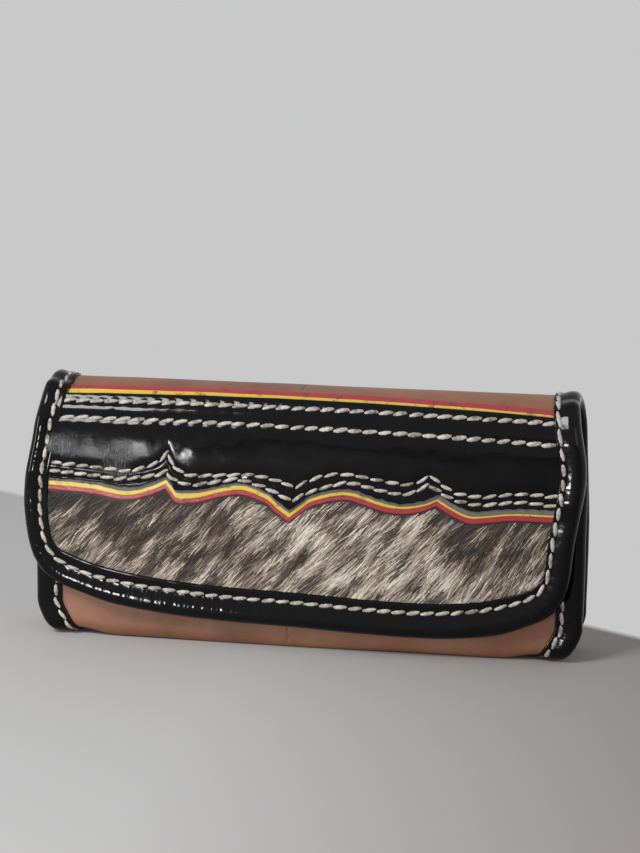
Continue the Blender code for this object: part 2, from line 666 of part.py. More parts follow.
def zip_pieces(collection):
    """The zip that closes the coin pocket: a tape and a row of teeth on each side, stops, slider and pull."""
    tape_outer = POCKET_GAP / 2 + POCKET_WALL
    tape_bottom = POCKET_TOP + CLEARANCE
    teeth_middle = POCKET_TOP + CLEARANCE + TAPE_THICKNESS / 2
    teeth_place = (TEETH_GAP + TEETH_WIDTH) / 2
    for side, word in ((-1, "front"), (1, "back")):
        near, far = sorted((POCKET_PLACE + side * TAPE_EDGE, POCKET_PLACE + side * tape_outer))
        obj = box_object(f"zip_tape_{word}", (-POCKET_HALF_LENGTH, near, tape_bottom),
                         (POCKET_HALF_LENGTH, far, tape_bottom + TAPE_THICKNESS))
        link(settle_object(obj), collection, material(f"zip_tape_{word}", ZIP_TAPE))
        teeth(f"zip_teeth_{word}", collection, POCKET_PLACE + side * teeth_place, teeth_middle)

    stop_half = TEETH_GAP / 2 + TEETH_WIDTH
    for side, word in ((-1, "left"), (1, "right")):
        near, far = sorted(side * (TEETH_HALF_LENGTH + CLEARANCE + reach) for reach in (0, STOP_LENGTH))
        obj = box_object(f"zip_stop_{word}", (near, POCKET_PLACE - stop_half, teeth_middle - TEETH_HEIGHT / 2),
                         (far, POCKET_PLACE + stop_half, teeth_middle + TEETH_HEIGHT / 2))
        link(obj, collection, material(f"zip_stop_{word}", BRASS))
    slider_and_pull(collection, teeth_middle)


def teeth(name, collection, y, z):
    """A row of teeth as one ridged bar, full at each tooth and narrow between teeth."""
    count = round(2 * TEETH_HALF_LENGTH / TEETH_PITCH)
    places = []
    for k in range(2 * count + 1):
        places.append((-TEETH_HALF_LENGTH + TEETH_HALF_LENGTH * k / count, 0, 1 if k % 2 else 0.7))
    half_width, half_height = TEETH_WIDTH / 2, TEETH_HEIGHT / 2
    section = ((-half_width, -half_height), (half_width, -half_height), (half_width, half_height),
               (-half_width, half_height))
    obj = swept(places, section, name)
    obj.location = (0, y, z)
    link(obj, collection, material(name, BRASS))


def joined(name, boxes):
    """One solid made of overlapping boxes."""
    first, *others = [box_object(name, low, high) for low, high in boxes]
    bpy.context.scene.collection.objects.link(first)
    for other in others:
        bpy.context.scene.collection.objects.link(other)
        union = first.modifiers.new("union", "BOOLEAN")
        union.operation = "UNION"
        union.object = other
    made = to_mesh(first, name)
    for other in others:
        bpy.data.objects.remove(other)
    return made


def extruded(name, outlines, thickness):
    obj = curve_object(outlines, True)
    obj.data.dimensions = "2D"
    obj.data.fill_mode = "BOTH"
    obj.data.extrude = thickness / 2
    return obj


def slider_and_pull(collection, teeth_middle):
    closed_place = TEETH_HALF_LENGTH - SLIDER_LENGTH / 2 - STOP_LENGTH
    plate_bottom = TEETH_HEIGHT / 2 + CLEARANCE
    plate_top = plate_bottom + PLATE_THICKNESS
    pull_height = plate_top + PULL_LIFT
    arch_under = pull_height + PULL_THICKNESS * 0.75 + CLEARANCE
    half, half_width, half_arch = SLIDER_LENGTH / 2, SLIDER_WIDTH / 2, ARCH_LENGTH / 2
    leg, blade, side = ARCH_WALL, BLADE_THICKNESS / 2, ARCH_WIDTH / 2
    overlap = PLATE_THICKNESS / 2
    slider = joined("zip_slider", (
        ((-half, -half_width, plate_bottom), (half, half_width, plate_top)),
        ((-half, -half_width, -plate_top), (half, half_width, -plate_bottom)),
        ((-half + overlap, -blade, -plate_bottom - overlap), (half - overlap, blade, plate_bottom + overlap)),
        ((half_arch - leg, -side, plate_top - overlap), (half_arch, side, arch_under + leg)),
        ((-half_arch, -side, plate_top - overlap), (leg - half_arch, side, arch_under + leg)),
        ((-half_arch + leg / 2, -side * 0.8, arch_under), (half_arch - leg / 2, side * 0.8, arch_under + leg * 0.9))))
    slider.location = (closed_place, POCKET_PLACE, teeth_middle)
    link(slider, collection, material("zip_slider", BRASS))

    half_pull, half_eye, bar = PULL_WIDTH / 2, PULL_EYE_WIDTH / 2, PULL_THICKNESS / 2
    tip = PULL_LENGTH - half_pull
    tag = [(bar, -half_pull), (bar, half_pull), (-tip, half_pull)]
    tag += [(-tip - half_pull * math.sin(a), half_pull * math.cos(a)) for a in (math.radians(30 * k) for k in range(1, 6))]
    tag.append((-tip, -half_pull))
    eye = [(-bar, -half_eye), (-bar, half_eye), (-PULL_EYE_LENGTH, half_eye), (-PULL_EYE_LENGTH, -half_eye)]
    pull = to_mesh(extruded("zip_pull", [tag, eye], PULL_THICKNESS), "zip_pull")
    pull.location = (closed_place, POCKET_PLACE, teeth_middle + pull_height)
    link(pull, collection, material("zip_pull", BRASS))


# The magnetic snap

def turned(name, collection, profile, look, place, side):
    """A round piece turned about the wallet's front-to-back axis, from a profile of radius and distance."""
    mesh = bpy.data.meshes.new(name)
    bm = bmesh.new()
    verts = [bm.verts.new((radius, 0, distance)) for radius, distance in profile]
    for pair in zip(verts, verts[1:]):
        bm.edges.new(pair)
    if profile[0][0] > 0:
        bm.edges.new((verts[-1], verts[0]))
    bm.to_mesh(mesh)
    bm.free()
    obj = bpy.data.objects.new(name, mesh)
    bpy.context.scene.collection.objects.link(obj)
    turn = obj.modifiers.new("turn", "SCREW")
    turn.steps = turn.render_steps = SNAP_SIDES
    turn.use_merge_vertices = True
    turn.merge_threshold = 1e-6
    obj.rotation_euler.x = math.radians(90 * side)
    obj.location = place
    link(to_mesh(obj, name), collection, material(name, look))


def disc_with_post(post_length):
    return [(0, post_length), (POST_RADIUS, post_length), (POST_RADIUS, 0), (SNAP_RADIUS, 0),
            (SNAP_RADIUS, -SNAP_THICKNESS), (0, -SNAP_THICKNESS)]


def snap_pieces(collection):
    """The two halves of the magnetic snap, each riveted through the leather, and the washer inside the panel."""
    panel_post = CLEARANCE + COVER_THICKNESS + CLEARANCE + WASHER_THICKNESS
    turned("snap_socket", collection, disc_with_post(panel_post), NICKEL,
           (0, -HALF_DEPTH - CLEARANCE, SNAP_HEIGHT), -1)
    flap_post = CLEARANCE + COVER_THICKNESS * 0.8
    turned("snap_stud", collection, disc_with_post(flap_post), NICKEL,
           (0, FLAP_FACE + COVER_THICKNESS + CLEARANCE, SNAP_HEIGHT), 1)
    inner = POST_RADIUS + CLEARANCE
    washer = [(inner, 0), (WASHER_RADIUS, 0), (WASHER_RADIUS, WASHER_THICKNESS), (inner, WASHER_THICKNESS)]
    turned("snap_washer", collection, washer, NICKEL,
           (0, -HALF_DEPTH + COVER_THICKNESS + CLEARANCE, SNAP_HEIGHT), -1)


def main():
    clear_scene()
    wallet = make_collection("wallet")
    body_edge, flap_edge = cover_edge()
    cover_pieces(wallet, body_edge, flap_edge)
    edge_pieces(wallet, body_edge, flap_edge)
    layer_pieces(wallet, flap_edge)
    gusset("gusset_left", wallet, -1)
    gusset("gusset_right", wallet, 1)
    card_tiers(wallet)
    coin_pocket(wallet)
    zip_pieces(wallet)
    snap_pieces(wallet)


if __name__ == "__main__":
    main()
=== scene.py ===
"""The looks of a long flap wallet: tan cover, patent bindings and band, sewn layers and a cow-hair panel."""

import math

import bpy
import bmesh
import numpy as np
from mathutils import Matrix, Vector


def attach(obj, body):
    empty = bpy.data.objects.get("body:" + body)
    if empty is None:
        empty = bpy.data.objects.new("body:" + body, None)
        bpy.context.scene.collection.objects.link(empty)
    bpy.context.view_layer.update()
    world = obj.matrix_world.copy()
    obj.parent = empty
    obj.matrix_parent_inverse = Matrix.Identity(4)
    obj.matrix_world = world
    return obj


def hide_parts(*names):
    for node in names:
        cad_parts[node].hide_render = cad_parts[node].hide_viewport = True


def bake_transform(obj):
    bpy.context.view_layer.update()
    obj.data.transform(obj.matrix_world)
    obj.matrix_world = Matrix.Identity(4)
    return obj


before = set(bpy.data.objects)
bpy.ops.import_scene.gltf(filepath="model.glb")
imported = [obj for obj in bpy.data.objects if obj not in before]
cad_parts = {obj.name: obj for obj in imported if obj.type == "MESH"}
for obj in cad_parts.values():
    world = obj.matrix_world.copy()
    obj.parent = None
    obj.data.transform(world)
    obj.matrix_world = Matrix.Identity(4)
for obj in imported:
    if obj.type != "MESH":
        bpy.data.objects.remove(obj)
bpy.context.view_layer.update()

MM = 0.001
rng = np.random.default_rng(7)

# The closed wallet, as in the CAD
WALLET_LENGTH = 195 * MM
HALF_LENGTH = WALLET_LENGTH / 2
BODY_DEPTH = 26 * MM
HALF_DEPTH = BODY_DEPTH / 2
WALLET_HEIGHT = 92.4 * MM
FOLD_RADIUS = 4 * MM
COVER = 1.5 * MM
SNAP_SPACE = 3.6 * MM
SPINE_RADIUS = (BODY_DEPTH + SNAP_SPACE + COVER) / 2
SPINE_HEIGHT = WALLET_HEIGHT - SPINE_RADIUS
MOUTH_HEIGHT = SPINE_HEIGHT - 3.85 * MM
END_DEPTH_SHARE = 0.9
END_LIFT = 2.05 * MM
LIFT_HEIGHT = 24 * MM
LIFT_START, LIFT_END = 0.7 * HALF_LENGTH, 0.84 * HALF_LENGTH
FLAP_DROP = SPINE_HEIGHT - 9.15 * MM
FLAP_SKEW = math.tan(math.radians(0.8))
SKEW_RISE = 12.5 * MM
FLAP_LEAN = 3.1 * MM
LEAN_START, LEAN_END = 3 * MM, 33 * MM
FLAP_BELLY = 1.7 * MM
FLAP_DROOP = 2.9 * MM

BASE_MIDDLE_V = MOUTH_HEIGHT - FOLD_RADIUS + math.pi / 2 * FOLD_RADIUS + HALF_DEPTH - FOLD_RADIUS
BACK_CREASE_V = (MOUTH_HEIGHT + SPINE_HEIGHT - 2 * FOLD_RADIUS + math.pi * FOLD_RADIUS
                 + BODY_DEPTH - 2 * FOLD_RADIUS)
FLAP_V = BACK_CREASE_V + math.pi * SPINE_RADIUS
CLIMB = (FLAP_V - 18.5 * MM, FLAP_V - 13 * MM)
SPLIT_V = BACK_CREASE_V - 8 * MM

BODY_HALF_WIDTH = HALF_LENGTH - 0.2 * MM
BASE_NARROWING = 8.3 * MM
CREASE_NARROWING = 1.8 * MM
SPINE_NARROWING = 3.8 * MM
MOUTH_CORNER = 12 * MM
BASE_WAIST_HEIGHT = 12 * MM
# Half outline of the flap: millimetres in from the body's edge, share of the flap's drop from the top of the front
FLAP_SIDE = ((3, -0.148), (0.7, 0.044), (-0.3, 0.266), (0.5, 0.487), (1.9, 0.65), (4.5, 0.753), (9.3, 0.832),
             (17.3, 0.892), (29.3, 0.939), (47.3, 0.975), (72.3, 0.996))

# Scalloped edge between yellow and red, cut by hand: distance from the middle, distance below the top
SCALLOP = ((-92, 22.3), (-74, 22.6), (-60.5, 24.2), (-51.3, 21.7), (-46.6, 19.1), (-44.3, 21.7), (-41.6, 24),
           (-35, 23.4), (-21, 19.7), (-11, 22.2), (-6.6, 25.3), (-1.8, 28.4), (1.5, 25.4), (5.9, 22), (17, 19.3),
           (30, 22.3), (37.5, 22.8), (44.2, 21.4), (48.3, 19.4), (52.3, 21.6), (59.7, 24.5), (66, 24.1), (75, 22.9),
           (92, 22.7))
SCALLOP_CUSPS = (4, 11, 18)
UPPER_ROW = ((-90, 13.8), (-67.4, 14.8), (-60.5, 15.1), (-51.3, 11.9), (-47.2, 7.4), (-45.8, 10.7), (-43.5, 13.2),
             (-38, 15.3), (-26, 14.5), (-16.8, 13.9), (-6.5, 15.6), (-1.5, 17.5), (5.5, 13.6), (15.5, 11.7),
             (35, 13.9), (41, 12.7), (44.4, 10.2), (48.2, 12.6), (54, 15.8), (63.6, 16.7), (76.4, 15), (90, 15.4))
UPPER_CUSPS = (4, 11, 16)
LOWER_ROW = ((-90, 16.8), (-72, 17.6), (-62.8, 18.1), (-51.3, 16.2), (-46.7, 14.3), (-44.5, 16.9), (-37.6, 18.6),
             (-28, 16.9), (-21.3, 15.8), (-11.4, 18.1), (-1.7, 22.2), (5.6, 18.1), (16.7, 14.7), (27.7, 16.5),
             (36.5, 17.5), (41.6, 15.4), (44.5, 13.5), (48.3, 15.6), (53.6, 18.1), (63, 19.6), (76.6, 17.9), (90, 18.8))
LOWER_CUSPS = (4, 10, 16)

HIDE_TOP, RED_TOP, YELLOW_TOP, GREY_TOP, PATENT_TOP = 0.8 * MM, 1.15 * MM, 1.55 * MM, 1.85 * MM, 2.75 * MM
BINDING = 0.9 * MM
ROLL = 2.6 * MM
FLAP_LEG_SIDE, FLAP_LEG_BOTTOM = 9 * MM, 12.8 * MM
BODY_LEG = 9.5 * MM
INNER_LEG = 8 * MM
STITCH_PITCH = 5.1 * MM


# Folding the flat pattern

def smoothstep(x, low, high):
    t = np.clip((x - low) / (high - low), 0, 1)
    return t * t * (3 - 2 * t)


def hump(x, centre, width):
    """A soft bell, 1 at its centre."""
    return np.exp(-(((x - centre) / width) ** 2))


def profile(v):
    """Place and outward direction along the closed cover's outer face."""
    lengths = (MOUTH_HEIGHT - FOLD_RADIUS, math.pi / 2 * FOLD_RADIUS, BODY_DEPTH - 2 * FOLD_RADIUS,
               math.pi / 2 * FOLD_RADIUS, SPINE_HEIGHT - FOLD_RADIUS, math.pi * SPINE_RADIUS, 2 * FLAP_DROP)
    turns = (0, math.pi / 2, 0, math.pi / 2, 0, math.pi, 0)
    v = np.asarray(v, float)
    y_out, z_out, angle_out = np.zeros_like(v), np.zeros_like(v), np.zeros_like(v)
    start, y, z, heading = 0.0, -HALF_DEPTH, MOUTH_HEIGHT, -math.pi / 2
    for i, (length, turn) in enumerate(zip(lengths, turns)):
        here = (v >= start) | (i == 0)
        along = v[here] - start
        if turn == 0:
            y_out[here] = y + along * math.cos(heading)
            z_out[here] = z + along * math.sin(heading)
            angle_out[here] = heading
            y += length * math.cos(heading)
            z += length * math.sin(heading)
        else:
            radius = length / turn
            angle = heading + along / radius
            y_out[here] = y + radius * (np.sin(angle) - math.sin(heading))
            z_out[here] = z - radius * (np.cos(angle) - math.cos(heading))
            angle_out[here] = angle
            y += radius * (math.sin(heading + turn) - math.sin(heading))
            z -= radius * (math.cos(heading + turn) - math.cos(heading))
            heading += turn
        start += length
    return y_out, z_out, np.sin(angle_out), -np.cos(angle_out)


def settle(x, y, z):
    """The soft shape of the standing wallet: thinner towards its ends, which lift off the table."""
    y = y * (1 - (1 - END_DEPTH_SHARE) * (x / HALF_LENGTH) ** 2)
    z = z + END_LIFT * smoothstep(abs(x), LIFT_START, LIFT_END) * np.clip(1 - z / LIFT_HEIGHT, 0, None)
    return np.stack([x, y, z], -1)


def fold(u, v, h):
    """Points of the wallet from places on the flat pattern and heights over the cover's face."""
    u, v, h = np.broadcast_arrays(np.asarray(u, float), v, h)
    y, z, out_y, out_z = profile(v)
    return settle(u, y + h * out_y, z + h * out_z)


def belly(u, v):
    """How far the soft flap stands out below its top, more at the left."""
    w = v - FLAP_V
    rise = smoothstep(w, -10 * MM, 22 * MM) * (1 - smoothstep(w, 30 * MM, 62 * MM))
    return FLAP_BELLY * rise * (0.35 + 0.65 * smoothstep(-u, -5 * MM, 60 * MM))


def on_flap(u, v, h):
    """The fold for the hand-cut flap, which is lower at its right, leans left, bellies out and droops."""
    u, v, h = np.broadcast_arrays(np.asarray(u, float), v, h)
    lean = FLAP_LEAN * smoothstep(v, FLAP_V + LEAN_START, FLAP_V + LEAN_END)
    skew = FLAP_SKEW * u * np.clip((v - FLAP_V + SKEW_RISE) / SKEW_RISE, 0, 1)
    droop = FLAP_DROOP * smoothstep(v, FLAP_V + 20 * MM, FLAP_V + 54 * MM) * smoothstep(u, -6 * MM, 70 * MM)
    return fold(u - lean, v + skew + droop, h + belly(u, v))


def ripple(a, b, scale, seed, octaves=3):
    """Smooth seeded noise from a few crossed waves, about -1 to 1."""
    waves = np.random.default_rng(seed)
    total = 0
    for octave in range(octaves):
        for _ in range(5):
            angle = waves.uniform(0, 2 * math.pi)
            pace = waves.uniform(0.6, 1.5) * 2**octave / scale * 2 * math.pi
            total = total + np.sin((a * math.cos(angle) + b * math.sin(angle)) * pace + waves.uniform(0, 7)) / 2**octave
    return total / 5


# Lines on the pattern

def smooth(knots, cusps=(), steps=12):
    """A smooth line through knots, with a point at each knot named as a cusp."""
    line = [knots[0]]
    last = len(knots) - 1
    for i in range(last):
        a, b = Vector(knots[i]), Vector(knots[i + 1])
        before = a if i == 0 or i in cusps else Vector(knots[i - 1])
        after = b if i + 1 == last or i + 1 in cusps else Vector(knots[i + 2])
        for k in range(1, steps + 1):
            t = k / steps
            leave, arrive = (b - before) / 2, (after - a) / 2
            point = (a * (2 * t**3 - 3 * t**2 + 1) + leave * (t**3 - 2 * t**2 + t)
                     + b * (3 * t**2 - 2 * t**3) + arrive * (t**3 - t**2))
            line.append(tuple(point))
    return line


def edge_half():
    """The right edge of the cover, from the middle of the mouth, round the base and over the spine."""
    corner = [(BODY_HALF_WIDTH - MOUTH_CORNER * (1 - math.sin(a)), MOUTH_CORNER * (1 - math.cos(a)))
              for a in (math.radians(6 * k) for k in range(16))]
    waist_length = BASE_WAIST_HEIGHT + BASE_MIDDLE_V - MOUTH_HEIGHT
    waist = []
    for k in range(-16, 17):
        share = 1 - abs(k) / 16
        narrowing = BASE_NARROWING * (3 * share**2 - 2 * share**3)
        waist.append((BODY_HALF_WIDTH - narrowing, BASE_MIDDLE_V + waist_length * k / 16))
    spine = smooth([(BODY_HALF_WIDTH, BACK_CREASE_V - SPINE_RADIUS * 2),
                    (BODY_HALF_WIDTH - CREASE_NARROWING, BACK_CREASE_V),
                    (BODY_HALF_WIDTH - SPINE_NARROWING, (BACK_CREASE_V + FLAP_V) / 2)]
                   + [(BODY_HALF_WIDTH - distance * MM, FLAP_V + share * FLAP_DROP) for distance, share in FLAP_SIDE]
                   + [(0, FLAP_V + FLAP_DROP)], steps=10)
    return corner + waist + spine


def resample(line, spacing):
    line = np.array(line)
    walked = np.concatenate([[0], np.cumsum(np.linalg.norm(np.diff(line, axis=0), axis=1))])
    count = max(2, int(round(walked[-1] / spacing)) + 1)
    places = np.linspace(0, walked[-1], count)
    return np.stack([np.interp(places, walked, line[:, k]) for k in range(line.shape[1])], -1)


def inwards(line):
    """The unit direction to the line's right at each of its points."""
    along = np.gradient(line, axis=0)
    along /= np.linalg.norm(along, axis=1)[:, None]
    return np.stack([-along[:, 1], along[:, 0]], -1)


HALF_EDGE = edge_half()
EDGE_U, EDGE_V = np.array(HALF_EDGE).T
LOWER = EDGE_V > FLAP_V + 17 * MM


def half_width(v):
    return np.interp(v, EDGE_V, EDGE_U)


def flap_bottom(u, inset=0):
    """Where the flap's edge lies at each distance from the middle."""
    return np.interp(abs(u), (EDGE_U[LOWER] - inset * 0.6)[::-1], (EDGE_V[LOWER] - inset)[::-1])


def drawn(knots, cusps):
    """A line across the flap as a function of the distance from the middle."""
    us, ws = (np.array(smooth(knots, cusps)) * MM).T

    def line(u):
        return FLAP_V + np.interp(u, us, ws)
    return line


def course(depth, bow, tilt, wander=0.0, seed=0):
    """A nearly straight line across the flap: its depth in millimetres, bow of its ends and tilt to the right."""
    def line(u):
        share = u / HALF_LENGTH
        return FLAP_V + (depth + bow * share**2 + tilt * share + wander * ripple(u, u * 0, 30 * MM, seed, 2)) * MM
    return line


# Making meshes

def new_mesh(name, verts, faces, mat):
    mesh = bpy.data.meshes.new(name)
    mesh.from_pydata(np.asarray(verts).tolist(), [], faces.tolist() if isinstance(faces, np.ndarray) else faces)
    mesh.polygons.foreach_set("use_smooth", [True] * len(mesh.polygons))
    bm = bmesh.new()
    bm.from_mesh(mesh)
    if bm.calc_volume(signed=True) < 0:
        bmesh.ops.reverse_faces(bm, faces=bm.faces)
    bm.to_mesh(mesh)
    bm.free()
    mesh.update()
    obj = bpy.data.objects.new(name, mesh)
    bpy.context.scene.collection.objects.link(obj)
    obj.data.materials.append(mat)
    return obj


def dressed(obj, body=None, node=None):
    """Attaches a piece to its body, or else bakes it in place, and hides the CAD node that it stands for."""
    if body:
        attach(obj, body)
    else:
        join_flap(obj)
    if node:
        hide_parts(node)
    return obj


def join_flap(obj):
    """What crosses the fold between the back and the top joins no body: its place is baked into its mesh."""
    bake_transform(obj)


def grid_faces(rows, columns, offset=0, wrap=False):
    r = np.arange(rows - 1)[:, None]
    c = np.arange(columns if wrap else columns - 1)[None, :]
    nxt = (c + 1) % columns
    a = r * columns + c
    b = r * columns + nxt
    return np.stack([a, b, b + columns, a + columns], -1).reshape(-1, 4) + offset


def slab(name, outer, inner, mat):
    """A closed sheet between two grids of points."""
    rows, columns = outer.shape[:2]
    count = rows * columns
    faces = [grid_faces(rows, columns), grid_faces(rows, columns, count)[:, ::-1]]
    ring = np.concatenate([np.arange(columns), np.arange(1, rows) * columns + columns - 1,
                           (rows - 1) * columns + np.arange(columns - 2, -1, -1),
                           np.arange(rows - 2, 0, -1) * columns])
    nxt = np.roll(ring, -1)
    faces.append(np.stack([nxt, ring, ring + count, nxt + count], -1))
    return new_mesh(name, np.concatenate([outer.reshape(-1, 3), inner.reshape(-1, 3)]), np.concatenate(faces), mat)


def tube(name, rings, mat):
    """A closed solid through rings of points, with a flat face over its first and last ring."""
    rows, columns = rings.shape[:2]
    faces = grid_faces(rows, columns, wrap=True).tolist()
    faces.append(list(range(columns))[::-1])
    faces.append([(rows - 1) * columns + k for k in range(columns)])
    return new_mesh(name, rings.reshape(-1, 3), faces, mat)


def eased(count, edge=0.12):
    """Shares from 0 to 1 that crowd together near both ends."""
    t = np.linspace(0, 1, count)
    return t - (1 - edge) * np.sin(2 * math.pi * t) / (2 * math.pi)


def rounded(distance, radius, depth):
    """How far a sheet's face drops near its edge."""
    t = np.clip(1 - distance / radius, 0, 1)
    return depth * (1 - np.sqrt(np.clip(1 - t * t, 0, 1)))


# Materials

def shader(name, colour, roughness, metallic=0.0, **sockets):
    mat = bpy.data.materials.new(name)
    mat.use_nodes = True
    nodes, links = mat.node_tree.nodes, mat.node_tree.links
    bsdf = nodes["Principled BSDF"]
    bsdf.inputs["Base Color"].default_value = (*colour, 1)
    bsdf.inputs["Roughness"].default_value = roughness
    bsdf.inputs["Metallic"].default_value = metallic
    for key, value in sockets.items():
        bsdf.inputs[key.replace("_", " ")].default_value = value
    return mat, nodes, links, bsdf


def object_place(nodes, links, stretch=None, turn=(0, 0, 0)):
    coords = nodes.new("ShaderNodeTexCoord")
    if stretch is None:
        return coords.outputs["Object"]
    mapping = nodes.new("ShaderNodeMapping")
    mapping.inputs["Rotation"].default_value = turn
    mapping.inputs["Scale"].default_value = stretch
    links.new(coords.outputs["Object"], mapping.inputs["Vector"])
    return mapping.outputs["Vector"]


def noise(nodes, links, scale, detail=3.0, rough=0.5, stretch=None, turn=(0, 0, 0)):
    tex = nodes.new("ShaderNodeTexNoise")
    tex.inputs["Scale"].default_value = scale
    tex.inputs["Detail"].default_value = detail
    tex.inputs["Roughness"].default_value = rough
    links.new(object_place(nodes, links, stretch, turn), tex.inputs["Vector"])
    return tex.outputs["Fac"]


def ramp(nodes, links, source, stops):
    made = nodes.new("ShaderNodeValToRGB")
    elements = made.color_ramp.elements
    while len(elements) < len(stops):
        elements.new(0.5)
    for element, (position, colour) in zip(elements, stops):
        element.position = position
        element.color = (*colour, 1)
    links.new(source, made.inputs["Fac"])
    return made.outputs["Color"]


def levels(nodes, links, source, low, high, to_low, to_high):
    made = nodes.new("ShaderNodeMapRange")
    for key, value in (("From Min", low), ("From Max", high), ("To Min", to_low), ("To Max", to_high)):
        made.inputs[key].default_value = value
    links.new(source, made.inputs["Value"])
    return made.outputs["Result"]


def near(nodes, links, place, reach):
    """1 at a place, falling to 0 at a distance from it."""
    distance = nodes.new("ShaderNodeVectorMath")
    distance.operation = "DISTANCE"
    distance.inputs[1].default_value = place
    links.new(object_place(nodes, links), distance.inputs[0])
    made = nodes.new("ShaderNodeMapRange")
    made.interpolation_type = "SMOOTHSTEP"
    made.inputs["From Min"].default_value = reach
    made.inputs["From Max"].default_value = 0
    links.new(distance.outputs["Value"], made.inputs["Value"])
    return made.outputs["Result"]


def mixed(nodes, links, share, first, second, kind="FLOAT"):
    made = nodes.new("ShaderNodeMix")
    made.data_type = kind
    sockets = [s for s in made.inputs if s.enabled]
    links.new(share, sockets[0])
    for socket, source in zip(sockets[1:], (first, second)):
        if isinstance(source, (int, float, tuple)):
            socket.default_value = source
        else:
            links.new(source, socket)
    return [s for s in made.outputs if s.enabled][0]


def bump(nodes, links, height, strength, distance, under=None):
    made = nodes.new("ShaderNodeBump")
    made.inputs["Strength"].default_value = strength
    made.inputs["Distance"].default_value = distance
    links.new(height, made.inputs["Height"])
    if under:
        links.new(under, made.inputs["Normal"])
    return made.outputs["Normal"]


def leather(name, dark, mid, light, roughness=0.45, grain=1700, grain_depth=0.00006, mottle=28):
    """Smooth finished leather: mottled colour, fine pebbled grain, soft pores and small darker marks."""
    mat, nodes, links, bsdf = shader(name, mid, roughness)
    tone = noise(nodes, links, mottle, 5, 0.62)
    colours = ramp(nodes, links, tone, ((0.3, dark), (0.5, mid), (0.72, light)))
    marks = levels(nodes, links, noise(nodes, links, 150, 4, 0.7), 0.27, 0.33, 1, 0)
    links.new(mixed(nodes, links, marks, colours, (*dark, 1), "RGBA"), bsdf.inputs["Base Color"])
    cells = nodes.new("ShaderNodeTexVoronoi")
    cells.inputs["Scale"].default_value = grain
    links.new(object_place(nodes, links), cells.inputs["Vector"])
    low = bump(nodes, links, cells.outputs["Distance"], 0.35, grain_depth)
    high = bump(nodes, links, noise(nodes, links, grain * 1.6, 2), 0.4, grain_depth, low)
    soft = noise(nodes, links, 160, 3)
    links.new(bump(nodes, links, soft, 0.3, 0.0004, high), bsdf.inputs["Normal"])
    links.new(levels(nodes, links, soft, 0, 1, roughness - 0.1, roughness + 0.1), bsdf.inputs["Roughness"])
    return mat


def patent(name, wave_depth, scuffs_and_glare_spots=()):
    """Black patent leather: a glossy skin over soft leather, with small dents, and rubbed where it was handled. At each
    scuff spot the scratches also turn the base colour a paler grey, a painted highlight standing in for lamp glare.
    """
    mat, nodes, links, bsdf = shader(name, (0.0016, 0.0016, 0.0022), 0.14, Specular_IOR_Level=0.22)
    rub = levels(nodes, links, noise(nodes, links, 230, 6, 0.7), 0.45, 0.75, 0.07, 0.2)
    low = bump(nodes, links, noise(nodes, links, 75, 2), 0.35, wave_depth)
    high = bump(nodes, links, noise(nodes, links, 420, 3), 0.2, 0.00012, low)
    black_and_glare_colour = ramp(nodes, links, noise(nodes, links, 90, 3), ((0.3, (0.0014, 0.0014, 0.002)), (0.7, (0.0024, 0.0024, 0.003))))
    for place, reach in scuffs_and_glare_spots:
        worn = near(nodes, links, place, reach)
        hairlines = noise(nodes, links, 1, 4, 0.75, (2600, 500, 420), (0, math.radians(38), 0))
        rubbed = levels(nodes, links, hairlines, 0.4, 0.62, 0.09, 0.27)
        rub = mixed(nodes, links, worn, rub, rubbed)
        scratch_and_glare_mask = nodes.new("ShaderNodeMath")
        scratch_and_glare_mask.operation = "MULTIPLY"
        links.new(worn, scratch_and_glare_mask.inputs[0])
        links.new(hairlines, scratch_and_glare_mask.inputs[1])
        high = bump(nodes, links, scratch_and_glare_mask.outputs["Value"], 0.5, 0.00022, high)
        # Painted highlight: the paler grey mixed into the base colour here stands in for lamp glare over the real scuff
        # scratches.
        painted_glare_haze = levels(nodes, links, scratch_and_glare_mask.outputs["Value"], 0.38, 0.62, 0, 1)
        black_and_glare_colour = mixed(nodes, links, painted_glare_haze, black_and_glare_colour, (0.1, 0.1, 0.105, 1), "RGBA")
    links.new(black_and_glare_colour, bsdf.inputs["Base Color"])
    links.new(rub, bsdf.inputs["Roughness"])
    links.new(high, bsdf.inputs["Normal"])
    return mat


def dyed_edge(name, colour, worn, roughness, gloss=0.0):
    """Thin dyed leather whose colour has rubbed through in places."""
    mat, nodes, links, bsdf = shader(name, colour, roughness, Coat_Weight=gloss, Coat_Roughness=0.12)
    rubbed = noise(nodes, links, 230, 6, 0.72)
    links.new(ramp(nodes, links, rubbed, ((0.37, worn), (0.45, colour), (1, colour))), bsdf.inputs["Base Color"])
    low = bump(nodes, links, noise(nodes, links, 420, 3), 0.5, 0.0003)
    links.new(bump(nodes, links, noise(nodes, links, 1500, 3), 0.3, 0.00008, low), bsdf.inputs["Normal"])
    return mat


def thread_material():
    mat, nodes, links, bsdf = shader("thread", (0.5, 0.47, 0.41), 0.42)
    grime = noise(nodes, links, 300, 5, 0.68)
    links.new(ramp(nodes, links, grime, ((0.34, (0.13, 0.115, 0.09)), (0.46, (0.36, 0.33, 0.27)),
                                         (0.66, (0.6, 0.58, 0.52)))), bsdf.inputs["Base Color"])
    fibre = noise(nodes, links, 2600, 2)
    links.new(bump(nodes, links, fibre, 0.5, 0.0001), bsdf.inputs["Normal"])
    return mat


def hair_material():
    """Cow hair whose colour is kept on each hair, from nearly black to cream."""
    mat, nodes, links, bsdf = shader("cow_hair", (0.2, 0.16, 0.12), 0.45)
    tone = nodes.new("ShaderNodeAttribute")
    tone.attribute_name = "tone"
    stops = ((0, (0.01, 0.006, 0.004)), (0.28, (0.035, 0.021, 0.014)), (0.5, (0.17, 0.12, 0.085)),
             (0.72, (0.46, 0.38, 0.29)), (1, (0.86, 0.8, 0.69)))
    links.new(ramp(nodes, links, tone.outputs["Fac"], stops), bsdf.inputs["Base Color"])
    return mat


